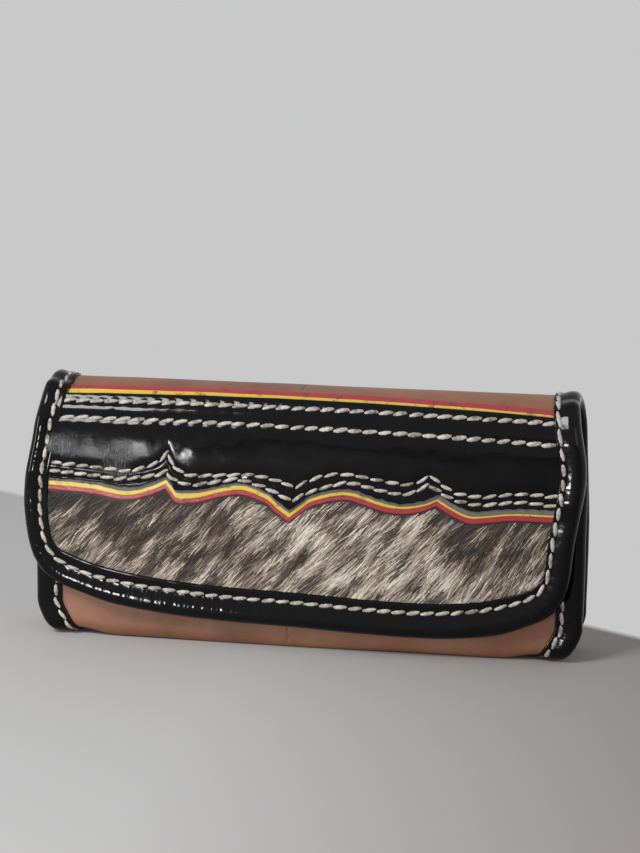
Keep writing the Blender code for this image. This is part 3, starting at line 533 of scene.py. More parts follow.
def woven(name, colour, pace):
    """A close woven tape: fine ribs both ways."""
    mat, nodes, links, bsdf = shader(name, colour, 0.85, Sheen_Weight=0.2)
    normal = None
    for direction in ("X", "Y"):
        wave = nodes.new("ShaderNodeTexWave")
        wave.bands_direction = direction
        wave.inputs["Scale"].default_value = pace
        links.new(object_place(nodes, links), wave.inputs["Vector"])
        normal = bump(nodes, links, wave.outputs["Fac"], 0.6, 0.00012, normal)
    links.new(normal, bsdf.inputs["Normal"])
    return mat


def metal(name, colour, tarnish, roughness):
    """Plated metal with fine scratches and a little tarnish."""
    mat, nodes, links, bsdf = shader(name, colour, roughness, 1.0)
    links.new(ramp(nodes, links, noise(nodes, links, 240, 5, 0.65), ((0.35, tarnish), (0.6, colour))),
              bsdf.inputs["Base Color"])
    fine = noise(nodes, links, 1, 3, 0.6, (900, 3000, 3000))
    links.new(levels(nodes, links, fine, 0.3, 0.7, roughness - 0.08, roughness + 0.12), bsdf.inputs["Roughness"])
    links.new(bump(nodes, links, fine, 0.15, 0.00003), bsdf.inputs["Normal"])
    return mat


TAN = leather("tan_leather", (0.145, 0.056, 0.028), (0.23, 0.097, 0.05), (0.29, 0.138, 0.08), 0.42)
# The two scuff spots sit where the lamp's glare falls on the band: real scuffing in roughness and bumps, plus a painted
# glare haze in the base colour.
PATENT = patent("black_patent", 0.0004, (((-0.066, -0.0215, 0.064), 0.017), ((-0.084, -0.021, 0.07), 0.012)))
PATENT_BINDING = patent("patent_binding", 0.0009)
RED = dyed_edge("red_leather", (0.34, 0.022, 0.035), (0.13, 0.03, 0.03), 0.28, 0.5)
YELLOW = dyed_edge("yellow_leather", (0.66, 0.46, 0.035), (0.28, 0.17, 0.05), 0.32, 0.4)
GREY = dyed_edge("grey_leather", (0.13, 0.122, 0.118), (0.04, 0.04, 0.035), 0.6)
THREAD = thread_material()
HAIR = hair_material()
LINING = leather("lining_leather", (0.09, 0.04, 0.02), (0.14, 0.066, 0.035), (0.18, 0.09, 0.05), 0.6)
TAPE = woven("zip_tape", (0.015, 0.015, 0.016), 900)
BRASS = metal("brass", (0.72, 0.52, 0.24), (0.4, 0.27, 0.12), 0.28)
NICKEL = metal("nickel", (0.62, 0.6, 0.56), (0.4, 0.38, 0.35), 0.24)


# The cover

def crease_shares(*places):
    """Shares across the cover, closer together where a fine crease runs."""
    shares = [np.linspace(-1, 1, 150)]
    for place in places:
        shares.append((place + np.linspace(-1.5, 1.5, 15) * MM) / (BODY_HALF_WIDTH - 1.4 * MM))
    return np.unique(np.concatenate(shares))[None, :]


def crease(u, v, place, start, end, depth=0.35 * MM):
    """A fine dark fold across the bend of the leather."""
    wander = 0.5 * MM * np.sin(v / (1.7 * MM)) + 0.3 * MM * np.sin(v / (0.9 * MM))
    reach = smoothstep(v, start, start + 2 * MM) * (1 - smoothstep(v, end - 2 * MM, end))
    return -depth * hump(u, place + wander, 0.45 * MM) * reach


RIM = 0.05 * MM


def cover_pieces():
    front_crease, top_crease = -6 * MM, -2 * MM
    v = np.linspace(0.6 * MM, SPLIT_V, int(SPLIT_V / (1.1 * MM)))
    v = np.insert(v, -1, SPLIT_V - RIM)[:, None]
    s = crease_shares(front_crease)
    u = s * (half_width(v) - 1.4 * MM)
    v = np.broadcast_to(v, u.shape)
    loose = 0.22 * MM * ripple(u, v, 70 * MM, 3, 2) * smoothstep(v, 8 * MM, 30 * MM)
    face = loose + crease(u, v, front_crease, MOUTH_HEIGHT - 12 * MM, MOUTH_HEIGHT - 1 * MM)
    body = slab("leather_body", fold(u, v, face), fold(u, v, loose - COVER), TAN)
    dressed(body, "wallet_body", "body_cover")

    s = crease_shares(top_crease)
    t = np.insert(np.linspace(0, 1, 170), 1, RIM / FLAP_DROP)[:, None]
    end = flap_bottom(s * 97.5 * MM, 2.5 * MM)
    v = SPLIT_V + t * (end - SPLIT_V)
    u = s * (half_width(v) - 1.4 * MM)
    soft = 0.12 * MM * ripple(u, v, 60 * MM, 5, 2) * smoothstep(v, BACK_CREASE_V, BACK_CREASE_V + 8 * MM)
    face = soft + crease(u, v, top_crease, FLAP_V - 25 * MM, FLAP_V - 15.5 * MM)
    flap = slab("leather_flap", on_flap(u, v, face), on_flap(u, v, soft - COVER), TAN)
    dressed(flap, node="flap_cover")


# The bindings

def layer_height(v):
    """Height of what lies under the binding's outer leg along the flap's side."""
    band_end = smoothstep(v, FLAP_V + 17 * MM, FLAP_V + 25 * MM)
    return smoothstep(v, *CLIMB) * (PATENT_TOP - 0.4 * MM - band_end * (PATENT_TOP - 0.4 * MM - HIDE_TOP))


def no_layers(v):
    return np.zeros_like(v)


def flap_leg(line):
    return FLAP_LEG_SIDE + (FLAP_LEG_BOTTOM - FLAP_LEG_SIDE) * smoothstep(line[:, 1], FLAP_V + 40 * MM, FLAP_V + 62 * MM)


def flap_seam(line):
    side = 6.8 * MM + 0.7 * MM * np.sign(line[:, 0]) * smoothstep(abs(line[:, 0]), 40 * MM, 80 * MM)
    return side + 2.4 * MM * smoothstep(line[:, 1], FLAP_V + 40 * MM, FLAP_V + 64 * MM)


def body_leg(line):
    return np.full(len(line), BODY_LEG)


def body_seam(line):
    return np.full(len(line), 7.3 * MM)


def binding(name, line, leg, seam, under, seed, shape):
    """A patent strip rolled round the edge. leg, seam and under give its width, its seam and what lies below it."""
    line = resample(line, 0.45 * MM)
    walked = np.concatenate([[0], np.cumsum(np.linalg.norm(np.diff(line, axis=0), axis=1))])[:, None]
    side = inwards(line)
    width, seam_at, base = leg(line)[:, None], seam(line)[:, None], under(line[:, 1])[:, None]
    top = base + BINDING
    bottom = -COVER - BINDING
    middle, swell = (top + bottom) / 2, (top - bottom) / 2 + 0.25 * MM
    inset, height = [], []

    def at(d, h):
        inset.append(np.broadcast_to(d, walked.shape))
        height.append(np.broadcast_to(h, walked.shape))

    at(width, base - 0.1 * MM)
    at(width, base + 0.45 * BINDING)
    at(width - 0.12 * MM, base + 0.8 * BINDING)
    at(width - 0.45 * MM, top)
    for share in (0.25, 0.5, 0.75, 1):
        at(width - 0.45 * MM + share * (seam_at - width + 0.45 * MM), top - 0.32 * MM * share**3)
    for share in (0.15, 0.3, 0.45, 0.6, 0.8):
        roll = PLUMP * math.sin(share * math.pi / 2) ** 2
        at(seam_at + share * (ROLL - seam_at), top - 0.32 * MM * (1 - share) ** 3 + roll)
    for k in range(13):
        angle = math.pi * k / 12
        at(ROLL * (1 - math.sin(angle)), middle + (swell + (PLUMP - 0.3 * MM) * math.cos(angle / 2)) * math.cos(angle))
    outer_end = len(inset)
    at(ROLL + (INNER_LEG - ROLL) * 0.5, bottom)
    at(INNER_LEG, bottom)
    at(INNER_LEG, bottom + BINDING)
    at(ROLL * 1.2, bottom + BINDING)
    at(ROLL * 1.2, base - 0.1 * MM)
    inset, height = np.concatenate(inset, 1), np.concatenate(height, 1)
    outer = np.zeros_like(inset)
    outer[:, 6:outer_end - 1] = 1
    pleats = ripple(walked, inset * 0.2, 5 * MM, seed, 3) * 0.4 + ripple(walked, inset * 0.1, 1.9 * MM, seed + 1, 2) * 0.6
    strength = 0.05 + 0.11 * smoothstep(ripple(walked, walked * 0, 50 * MM, seed + 2, 1), -0.2, 0.7)
    puckers = 0.05 * MM * np.cos(2 * math.pi * walked / STITCH_PITCH) * hump(inset, seam_at, 1.6 * MM)
    height = height + outer * (pleats * strength * MM * smoothstep(inset, 0, 1.2 * MM) + puckers)
    wander = 0.12 * MM * ripple(walked, walked * 0, 40 * MM, seed + 4, 2)
    u = line[:, :1] + side[:, :1] * (inset + wander)
    v = line[:, 1:] + side[:, 1:] * (inset + wander)
    return tube(name, shape(u, v, height), PATENT_BINDING)


def edge_stretch(low, high):
    """The right edge between two places along the sheet."""
    points = [p for p in HALF_EDGE if low < p[1] < high]
    if low > EDGE_V[0]:
        points.insert(0, (float(half_width(low)), low))
    if high < EDGE_V[-1]:
        points.append((float(half_width(high)), high))
    return points


PLUMP = 0.85 * MM
BODY_RIGHT = edge_stretch(-1, SPLIT_V)
FLAP_RIGHT = edge_stretch(SPLIT_V, 1)
BODY_LINE = [(-u, v) for u, v in reversed(BODY_RIGHT)] + BODY_RIGHT
FLAP_LINE = FLAP_RIGHT + [(-u, v) for u, v in reversed(FLAP_RIGHT[:-1])]


def binding_pieces():
    body = binding("binding_body", BODY_LINE, body_leg, body_seam, no_layers, 11, fold)
    dressed(body, "wallet_body", "body_binding")
    flap = binding("binding_flap", FLAP_LINE, flap_leg, flap_seam, layer_height, 23, on_flap)
    dressed(flap, node="flap_binding")


# The layers on the flap

yellow_edge = drawn(SCALLOP, SCALLOP_CUSPS)
ROWS = {"top_upper": course(-8.8, 1.5, 0, 0.12, 71), "top_lower": course(-3, 1.5, 0, 0.12, 72),
        "scallop_upper": drawn(UPPER_ROW, UPPER_CUSPS), "scallop_lower": drawn(LOWER_ROW, LOWER_CUSPS)}
CUSPS = {"scallop_upper": [UPPER_ROW[i][0] for i in UPPER_CUSPS], "scallop_lower": [LOWER_ROW[i][0] for i in LOWER_CUSPS]}


def yellow_shows(u):
    """How far the yellow shows below the grey along the scallop."""
    bare = 1.65 - 0.4 * smoothstep(u, -2 * MM, 14 * MM) - 0.4 * smoothstep(u, 24 * MM, 46 * MM)
    bare = bare + 0.4 * hump(u, -39 * MM, 5 * MM)
    return (bare + 0.16 * ripple(u, u * 0, 6 * MM, 43, 3)) * MM


def grey_shows(u):
    """How far the grey shows below the black band."""
    bare = 1.1 + 0.75 * smoothstep(u, 36 * MM, 52 * MM) + 0.4 * hump(u, -60 * MM, 12 * MM) - 0.5 * hump(u, -43.5 * MM, 2 * MM)
    return (bare + 0.28 * ripple(u, u * 0, 5 * MM, 47, 3)) * MM


def red_lower(u):
    return yellow_edge(u) + (1.85 + 0.12 * ripple(u, u * 0, 5 * MM, 41, 3)) * MM


def grey_lower(u):
    return yellow_edge(u) - yellow_shows(u)


def band_lower(u):
    return np.maximum(grey_lower(u) - grey_shows(u), ROWS["scallop_lower"](u) + 1.1 * MM)


def band_shape(u, v):
    """The band swells between its rows of stitches, is drawn down at them and puckers round each hole."""
    shape = 0.12 * MM * ripple(u, v, 45 * MM, 31, 2)
    for row in ROWS.values():
        away = v - row(u)
        shape = shape - (0.34 * MM + 0.07 * MM * np.cos(2 * math.pi * u / STITCH_PITCH)) * hump(away, 0, 1.35 * MM)
    low, high = ROWS["top_lower"](u), ROWS["scallop_upper"](u)
    pillow = np.clip(4 * (v - low) * (high - v) / (high - low) ** 2, 0, 1) ** 0.5
    return shape + 0.75 * MM * pillow * (0.85 + 0.25 * ripple(u, v, 28 * MM, 33, 2))


def layer(name, node, mat, top_edge, lower_edge, bottom, top, edge_drop, shape=None):
    half = 91 * MM
    s = np.linspace(-1, 1, 540)[None, :]
    t = eased(64)[:, None]
    reach = s * half
    high, low = top_edge(reach), lower_edge(reach)
    v = high + t * (low - high)
    u = s * np.minimum(half, half_width(v) - 3.2 * MM)
    height = top - rounded(np.minimum(t, 1 - t) * (low - high), edge_drop, edge_drop * 0.85)
    if shape is not None:
        height = height + shape(u, v)
    return dressed(slab(name, on_flap(u, v, height), on_flap(u, v, bottom), mat), "flap", node)


def layer_pieces():
    layer("red_leather_layer", "red_layer", RED, course(-16.5, 3.2, 1.2, 0.15, 81), red_lower,
          0.02 * MM, RED_TOP, 0.5 * MM)
    layer("yellow_leather_layer", "yellow_layer", YELLOW, course(-13.8, 2.6, 1.2, 0.12, 82),
          yellow_edge, RED_TOP - 0.02 * MM, YELLOW_TOP, 0.35 * MM)
    layer("grey_leather_layer", "grey_layer", GREY, course(-12.4, 2.6, 0.5), grey_lower,
          YELLOW_TOP - 0.02 * MM, GREY_TOP, 0.25 * MM)
    layer("patent_leather_band", "patent_band", PATENT, course(-12, 2.6, 0.5, 0.12, 83), band_lower,
          GREY_TOP - 0.02 * MM, PATENT_TOP, 0.6 * MM, band_shape)


# The hide and its hair

def hide_top(u):
    return yellow_edge(u) + 1.5 * MM


def hide_pieces():
    s = np.linspace(-1, 1, 240)[None, :]
    t = np.linspace(0, 1, 50)[:, None]
    reach = s * 92 * MM
    top = hide_top(reach)
    v = top + t * np.maximum(flap_bottom(reach, 5 * MM) - top, 1 * MM)
    u = s * np.minimum(92 * MM, half_width(v) - 5 * MM)
    skin = slab("hide_skin", on_flap(u, v, HIDE_TOP * 0.8), on_flap(u, v, 0.02 * MM), HAIR)
    tone = skin.data.attributes.new("tone", "FLOAT", "POINT")
    tone.data.foreach_set("value", np.full(len(skin.data.vertices), 0.1))
    dressed(skin, "flap", "hide_panel")
    hair("hide_hair_under", 21000, (4, 7), (0.1, 0.16), (0.1, 0.4), -0.16)
    hair("hide_hair_over", 17500, (6, 10.5), (0.08, 0.14), (0.35, 0.85), 0.05)


def hair_tone(u, w):
    """Brindled colour: dark and cream streaks along the lie of the hair, with broad darker patches."""
    lie = 0.8
    along, across = u * math.cos(lie) - w * math.sin(lie), u * math.sin(lie) + w * math.cos(lie)
    streak = 0.24 * ripple(along / 3, across, 11 * MM, 51, 2) + 0.34 * ripple(along / 6, across, 3.2 * MM, 52, 3)
    patches = 0
    for centre_u, centre_w, wide, high, amount in (
            (-82, 27, 10, 6, -0.45), (-60, 33, 14, 8, -0.32), (-36, 29, 13, 5, -0.2), (-30, 42, 10, 7, -0.14),
            (2, 33, 14, 7, 0.22), (22, 44, 20, 9, 0.16), (46, 40, 12, 8, 0.14), (62, 33, 11, 7, -0.38),
            (80, 34, 9, 8, -0.22), (-72, 47, 16, 5, 0.1), (14, 27, 6, 3, -0.14), (40, 28, 7, 4, 0.16)):
        reach = ((u / MM - centre_u) / wide) ** 2 + ((w / MM - centre_w) / high) ** 2
        patches = patches + amount * np.exp(-reach)
    return 0.46 + 0.0008 * u / MM + streak + patches


def hair(name, count, lengths, widths, lifts, paler):
    """Short hairs that lie flat and overlap, each with its own colour, bend and length."""
    u = rng.uniform(-91, 91, count) * MM
    w = rng.uniform(18, 62, count) * MM
    v = FLAP_V + w
    keep = (v > yellow_edge(u) + 2.2 * MM) & (v < flap_bottom(u, 9 * MM))
    u, w, v = u[keep], w[keep], v[keep]
    count = len(u)
    angle = math.radians(47) + 0.16 * ripple(u, v, 34 * MM, 61, 2) + rng.normal(0, 0.085, count)
    angle = angle + math.radians(9) * smoothstep(u, 50 * MM, 90 * MM)
    length = rng.uniform(*lengths, count) * MM
    tone = hair_tone(u - np.cos(angle) * length / 2, w + np.sin(angle) * length / 2)
    tone = np.clip(tone + paler + rng.normal(0, 0.2, count), 0.02, 1)
    lift = rng.uniform(*lifts, count) * MM
    bend = rng.normal(0, 0.1, count)
    width = rng.uniform(*widths, count) * MM
    verts, tones = [], []
    for share, wide in ((0, 1), (0.4, 0.95), (0.75, 0.7), (1, 0.08)):
        turn = angle + bend * share
        centre_u = u - np.cos(turn) * length * share
        centre_v = v + np.sin(turn) * length * share
        height = HIDE_TOP * 0.7 + lift * np.sin(math.pi * min(0.94, 0.15 + share * 0.85)) + 0.04 * MM
        for sign, ridge in ((-1, 0), (0, 0.8), (1, 0)):
            point_u = centre_u + sign * np.sin(turn) * width * wide
            point_v = centre_v + sign * np.cos(turn) * width * wide
            point_v = np.maximum(point_v, yellow_edge(point_u) + 2.1 * MM)
            verts.append(on_flap(point_u, point_v, height + ridge * width * wide))
            tones.append(np.clip(tone + 0.12 * (share - 0.5), 0, 1))
    start = (np.arange(count) * 12)[:, None]
    quads = []
    for first in (0, 1, 3, 4, 6, 7):
        quads.append(np.concatenate([start + first, start + first + 1, start + first + 4, start + first + 3], 1))
    obj = new_mesh(name, np.stack(verts, 1).reshape(-1, 3), np.concatenate(quads), HAIR)
    values = obj.data.attributes.new("tone", "FLOAT", "POINT")
    values.data.foreach_set("value", np.stack(tones, 1).reshape(-1))
    dressed(obj, "flap")


# Stitches

def stitches(name, lines, height, shape, wide, lean=-0.15):
    """Rows of thick stitches, each a plump slanting length of twisted thread whose ends dip into the leather."""
    along_count, around_count = 13, 12
    t = np.linspace(0, 1, along_count)
    around = np.linspace(0, 2 * math.pi, around_count, endpoint=False)[None, :]
    verts, faces, rows = [], [], []
    for line in lines:
        line = resample(line, 0.3 * MM)
        line = np.concatenate([[4 * line[0] - 3 * line[1]], line, [4 * line[-1] - 3 * line[-2]]])
        walked = np.concatenate([[0], np.cumsum(np.linalg.norm(np.diff(line, axis=0), axis=1))])
        length = walked[-2] - walked[1]
        count = max(1, round(length / STITCH_PITCH))
        rows += [(line, walked, walked[1] + (k + 0.5) * length / count, length / count) for k in range(count)]
    for line, walked, place, pitch in rows:
        middle = place + rng.normal(0, 0.1) * MM
        reach = pitch * rng.uniform(1.04, 1.14)
        places = middle + (t - 0.5) * reach
        u, v = np.interp(places, walked, line[:, 0]), np.interp(places, walked, line[:, 1])
        du, dv = np.gradient(u), np.gradient(v)
        size = np.hypot(du, dv)
        arch = np.sin(math.pi * t) ** 0.7
        plump = (wide * rng.uniform(0.9, 1.1) * (0.24 + 0.76 * arch))[:, None]
        tilt = ((lean + rng.normal(0, 0.04)) * (t - 0.5) * reach)[:, None]
        twist = (places / (3.3 * MM) * 2 * math.pi)[:, None]
        lobes = 1 + 0.09 * np.cos(2 * (around - twist))
        across = plump * lobes * np.cos(around) + tilt
        up = plump * lobes * np.sin(around) * 0.8
        rise = (height(v) - 0.5 * MM + 0.66 * MM * arch)[:, None]
        ring = shape(u[:, None] - (dv / size)[:, None] * across, v[:, None] + (du / size)[:, None] * across, rise + up)
        base = len(verts) * along_count * around_count
        verts.append(ring.reshape(-1, 3))
        faces.extend(grid_faces(along_count, around_count, base, wrap=True).tolist())
        faces.append([base + j for j in range(around_count)][::-1])
        faces.append([base + (along_count - 1) * around_count + j for j in range(around_count)])
    return new_mesh(name, np.concatenate(verts), faces, THREAD)


def offset_line(line, seam):
    line = resample(line, 0.5 * MM)
    return line + inwards(line) * seam(line)[:, None]


def level(height):
    """A height that is the same all along a row."""
    def at(v):
        return np.full_like(v, height)
    return at


def on_flap_leg(v):
    return layer_height(v) + BINDING - 0.25 * MM


def stitch_pieces():
    for name, row in ROWS.items():
        half = 89.5 * MM if name.startswith("scallop") else 86.5 * MM
        u = np.linspace(-half, half, 700)
        line = np.stack([u, row(u)], -1)
        ends = [0] + [int(np.searchsorted(u, cusp * MM)) for cusp in CUSPS.get(name, ())] + [len(u) - 1]
        lines = [line[a:b + 1] for a, b in zip(ends, ends[1:])]
        made = stitches("stitches_" + name, lines, level(PATENT_TOP - 0.25 * MM), on_flap, 0.66 * MM)
        kind, place = name.split("_")
        dressed(made, "flap", f"{kind}_stitching_{place}")
    made = stitches("stitches_flap_edge", [offset_line(FLAP_LINE, flap_seam)], on_flap_leg, on_flap, 0.74 * MM)
    dressed(made, node="flap_edge_stitching")
    made = stitches("stitches_body_edge", [offset_line(BODY_LINE, body_seam)], level(BINDING - 0.25 * MM), fold,
                    0.74 * MM)
    dressed(made, "wallet_body", "body_stitching")


# Inside the wallet

def plain_stitches(name, points, out, pitch=3.6 * MM, wide=0.32 * MM):
    """A row of fine stitches along a line in space, each a short rounded length of thread. out faces away from the cloth."""
    points = np.array(points, float)
    walked = np.concatenate([[0], np.cumsum(np.linalg.norm(np.diff(points, axis=0), axis=1))])
    count = max(1, int(walked[-1] / pitch))
    along_count, around_count = 5, 6
    t = np.linspace(0, 1, along_count)
    around = np.linspace(0, 2 * math.pi, around_count, endpoint=False)[None, :, None]
    out = np.array(out, float)
    verts, faces = [], []
    for k in range(count):
        places = (k + 0.5 + (t - 0.5) * 0.74) * walked[-1] / count
        centre = np.stack([np.interp(places, walked, points[:, axis]) for axis in range(3)], -1)
        along = centre[-1] - centre[0]
        side = np.cross(along, out)
        side /= np.linalg.norm(side)
        arch = np.sin(math.pi * t)[:, None, None] ** 0.5
        plump = wide * (0.35 + 0.65 * arch)
        ring = centre[:, None, :] + plump * (np.cos(around) * side + np.sin(around) * out)
        ring = ring + out * (wide * 0.5 * (arch - 0.5))
        base = len(verts) * along_count * around_count
        verts.append(ring.reshape(-1, 3))
        faces.extend(grid_faces(along_count, around_count, base, wrap=True).tolist())
        faces.append([base + j for j in range(around_count)][::-1])
        faces.append([base + (along_count - 1) * around_count + j for j in range(around_count)])
    return new_mesh(name, np.concatenate(verts), faces, THREAD)


def joined(name, parts, mat):
    """One piece from several loose closed meshes."""
    verts, faces = [], []
    for part in parts:
        start = len(verts)
        verts.extend(tuple(v.co) for v in part.data.vertices)
        faces.extend([start + index for index in p.vertices] for p in part.data.polygons)
        bpy.data.objects.remove(part)
    return new_mesh(name, verts, faces, mat)


def plate(name, outline, low, high, mat, bevel=0.0, hole=None):
    """A flat plate between two heights from an outline in x and y, with softened edges and perhaps one hole."""
    outline = np.array(outline, float)
    centre = outline.mean(0)
    steps = [(bevel, low), (bevel * 0.3, low + bevel * 0.3), (0, low + bevel), (0, high - bevel),
             (bevel * 0.3, high - bevel * 0.3), (bevel, high)]
    rings = []
    for inset, z in steps:
        away = outline - centre
        size = np.linalg.norm(away, axis=1)[:, None]
        ring = centre + away * (1 - inset / size)
        rings.append(np.column_stack([ring, np.full(len(ring), z)]))
    if hole is None:
        return tube(name, np.stack(rings), mat)
    hole = np.array(hole, float)
    for z in (high, low):
        rings.append(np.column_stack([hole, np.full(len(hole), z)]))
    rings.append(rings[0])
    rings = np.stack(rings)
    faces = grid_faces(len(rings) - 1, len(outline), wrap=True)
    last = grid_faces(2, len(outline), wrap=True)
    top = (len(rings) - 2) * len(outline)
    closing = np.where(last >= len(outline), last - len(outline), last + top)
    return new_mesh(name, rings[:-1].reshape(-1, 3), np.concatenate([faces, closing]), mat)


def rounded_box(low, high, corner, steps=5):
    """The outline of a rectangle with round corners, from its lowest and highest corner."""
    points = []
    for cx, cy, start in ((high[0] - corner, high[1] - corner, 0), (low[0] + corner, high[1] - corner, 90),
                          (low[0] + corner, low[1] + corner, 180), (high[0] - corner, low[1] + corner, 270)):
        for k in range(steps):
            angle = math.radians(start + 90 * k / (steps - 1))
            points.append((cx + corner * math.cos(angle), cy + corner * math.sin(angle)))
    return points


def gusset_pieces():
    """The folded sides: a soft V seen from above, glued to the cover along its two edges."""
    plan = np.array(smooth([(91.6, -9.6), (94.2, -9.5), (94.6, -8.9), (92.4, -6.6), (85.2, -2.4), (83.6, -1.5),
                            (85.2, -0.6), (92.4, 6.6), (94.6, 8.9), (94.2, 9.5), (91.6, 9.6)], steps=6)) * MM
    plan = resample(plan, 0.5 * MM)
    side = inwards(plan)
    z = np.linspace(5, 67.5, 64)[:, None] * MM
    for name, sign in (("gusset_left", -1), ("gusset_right", 1)):
        crumple = 0.25 * MM * ripple(z, plan[None, :, 1] * 1.5, 22 * MM, 91 + sign, 2)
        crumple = crumple * smoothstep(95 * MM - plan[None, :, 0], 1.5 * MM, 5 * MM)
        faces = []
        for off in (0.42 * MM, -0.42 * MM):
            x = sign * (plan[None, :, 0] + side[None, :, 0] * off + crumple)
            y = plan[None, :, 1] + side[None, :, 1] * off + 0 * z
            faces.append(np.stack(np.broadcast_arrays(x, y, z), -1))
        piece = slab(name + "_leather", faces[0], faces[1], LINING)
        dressed(piece, "wallet_body", name)


def leaf(name, low, high, y_back, y_front, wave_seed):
    """An upright leather leaf with a turned top edge and a creased line below it."""
    x = np.linspace(low[0], high[0], 130)[None, :]
    t = eased(46)[:, None]
    corner = 5 * MM
    reach = np.clip(corner - (high[0] - abs(x)), 0, corner)
    top = high[1] - (corner - np.sqrt(corner**2 - reach**2))
    z = low[1] + t * (top - low[1])
    x = np.broadcast_to(x, z.shape)
    from_top = top - z
    edge = rounded(np.minimum(from_top, high[0] - abs(x)), 0.4 * MM, 0.3 * MM)
    line = 0.16 * MM * hump(from_top, 2.4 * MM, 0.35 * MM)
    seam = 0.14 * MM * hump(x, 0, 0.5 * MM)
    soft = 0.08 * MM * (1 + ripple(x, z, 40 * MM, wave_seed, 2))
    front = y_front + edge + line + seam + soft
    back = y_back - edge * 0.5
    return slab(name, np.stack([x, front, z], -1), np.stack([x, np.maximum(back, front + 0.3 * MM), z], -1), LINING)


def card_tier_pieces():
    """Three stepped leaves, stitched up the middle and down both sides, that hold cards against the back."""
    for name, high, y_back, seed in (("card_tier_back", 66, 11.2, 101), ("card_tier_middle", 57, 10.0, 102),
                                     ("card_tier_front", 48, 8.8, 103)):
        piece = leaf(name + "_leather", (-86.7 * MM, 12.6 * MM), (86.7 * MM, high * MM), y_back * MM,
                     (y_back - 0.88) * MM, seed)
        dressed(piece, "wallet_body", name)
    rows = []
    for low, high, y in ((58.5, 64, 10.32), (49.5, 55.2, 9.12), (15, 46.2, 7.92)):
        for x in (-84.6, 0, 84.6):
            rows.append(plain_stitches("row", [(x * MM, y * MM, low * MM), (x * MM, y * MM, high * MM)], (0, -1, 0)))
    dressed(joined("stitches_card_tiers", rows, THREAD), "wallet_body")


def pocket_pieces():
    """The flat coin pocket in the middle: a soft open bag with a hem stitched round its mouth."""
    def ring(x_half, low, high, corner, z):
        outline = rounded_box((-x_half * MM, low * MM), (x_half * MM, high * MM), corner * MM, 6)
        dense = resample(outline + [outline[0]], 1.2 * MM)[:-1]
        return np.column_stack([dense, np.full(len(dense), z * MM)])

    levels_out = ((80.8, -4.4, 1.4, 1.6, 3.35), (82, -5.4, 2.4, 2.4, 4.3), (82.2, -5.55, 2.55, 2.6, 8), (82.2, -5.55, 2.55, 2.6, 22),
                  (82.2, -5.55, 2.55, 2.6, 40), (82.2, -5.55, 2.55, 2.6, 54.2), (82.1, -5.4, 2.4, 2.5, 54.8),
                  (82.2, -5.55, 2.55, 2.6, 55.4), (82.2, -5.55, 2.55, 2.6, 58.2), (82, -5.35, 2.35, 2.4, 58.7), (81.8, -5.1, 2.1, 2.2, 58.85))
    levels_in = ((81.6, -4.95, 1.95, 2, 58.7), (81.4, -4.7, 1.7, 1.8, 58.2), (81.4, -4.7, 1.7, 1.8, 40), (81.2, -4.6, 1.6, 1.8, 6),
                 (79.5, -3.6, 0.6, 1.2, 4.3))
    count = min(len(ring(*level)) for level in levels_out + levels_in)
    rings = []
    for level in levels_out + levels_in:
        line = ring(*level)
        closed = np.concatenate([line, line[:1]])
        walked = np.concatenate([[0], np.cumsum(np.linalg.norm(np.diff(closed, axis=0), axis=1))])
        places = np.linspace(0, walked[-1], count, endpoint=False)
        rings.append(np.stack([np.interp(places, walked, closed[:, k]) for k in range(3)], -1))
    rings = np.stack(rings)
    pocket = tube("coin_pocket_leather", rings, LINING)
    dressed(pocket, "wallet_body", "coin_pocket")
    hem = []
    for y, out in ((-5.5, -1), (2.5, 1)):
        hem.append(plain_stitches("hem", [(-79.5 * MM, y * MM, 56.8 * MM), (79.5 * MM, y * MM, 56.8 * MM)], (0, out, 0), 3.2 * MM))
    dressed(joined("stitches_coin_pocket", hem, THREAD), "wallet_body")


def zip_pieces():
    middle = -1.5 * MM
    for name, sign in (("front", -1), ("back", 1)):
        x = np.linspace(-76.4, 76.4, 150)[None, :] * MM
        across = np.array([2.02, 2.4, 3.0, 3.6, 4.08])[:, None] * MM
        wave = 0.04 * MM * np.sin(x / (1.9 * MM))
        y = middle + sign * across + 0 * x
        top = 59.86 * MM + wave - 0.1 * MM * hump(across, 2.02 * MM, 0.3 * MM) + 0 * x
        grids = [np.stack(np.broadcast_arrays(x, y, z), -1) for z in (top, 59.33 * MM + 0 * x)]
        dressed(slab(f"zip_tape_{name}_woven", grids[0], grids[1], TAPE), "wallet_body", f"zip_tape_{name}")
        teeth = []
        pitch = 2.4 * MM
        for k in range(-30, 31):
            centre = (k + (0.25 if sign > 0 else -0.25)) * pitch
            outline = rounded_box((centre - 0.55 * MM, 0.15 * MM), (centre + 0.55 * MM, 1.75 * MM), 0.28 * MM, 3)
            outline = [(px, middle + sign * py) for px, py in outline]
            if sign < 0:
                outline = outline[::-1]
            teeth.append(plate("tooth", outline, 58.95 * MM, 60.2 * MM, BRASS, 0.14 * MM))
        for k, tooth in enumerate(teeth):
            tooth.name = f"tooth_{name}_{k}"
        dressed(joined(f"zip_teeth_{name}_brass", teeth, BRASS), "wallet_body", f"zip_teeth_{name}")
    for name, sign in (("left", -1), ("right", 1)):
        outline = rounded_box((sign * 74.9 * MM - 0.98 * MM, middle - 1.58 * MM), (sign * 74.9 * MM + 0.98 * MM, middle + 1.58 * MM), 0.5 * MM)
        dressed(plate(f"zip_stop_{name}_brass", outline, 58.62 * MM, 60.58 * MM, BRASS, 0.3 * MM), "wallet_body",
                f"zip_stop_{name}")


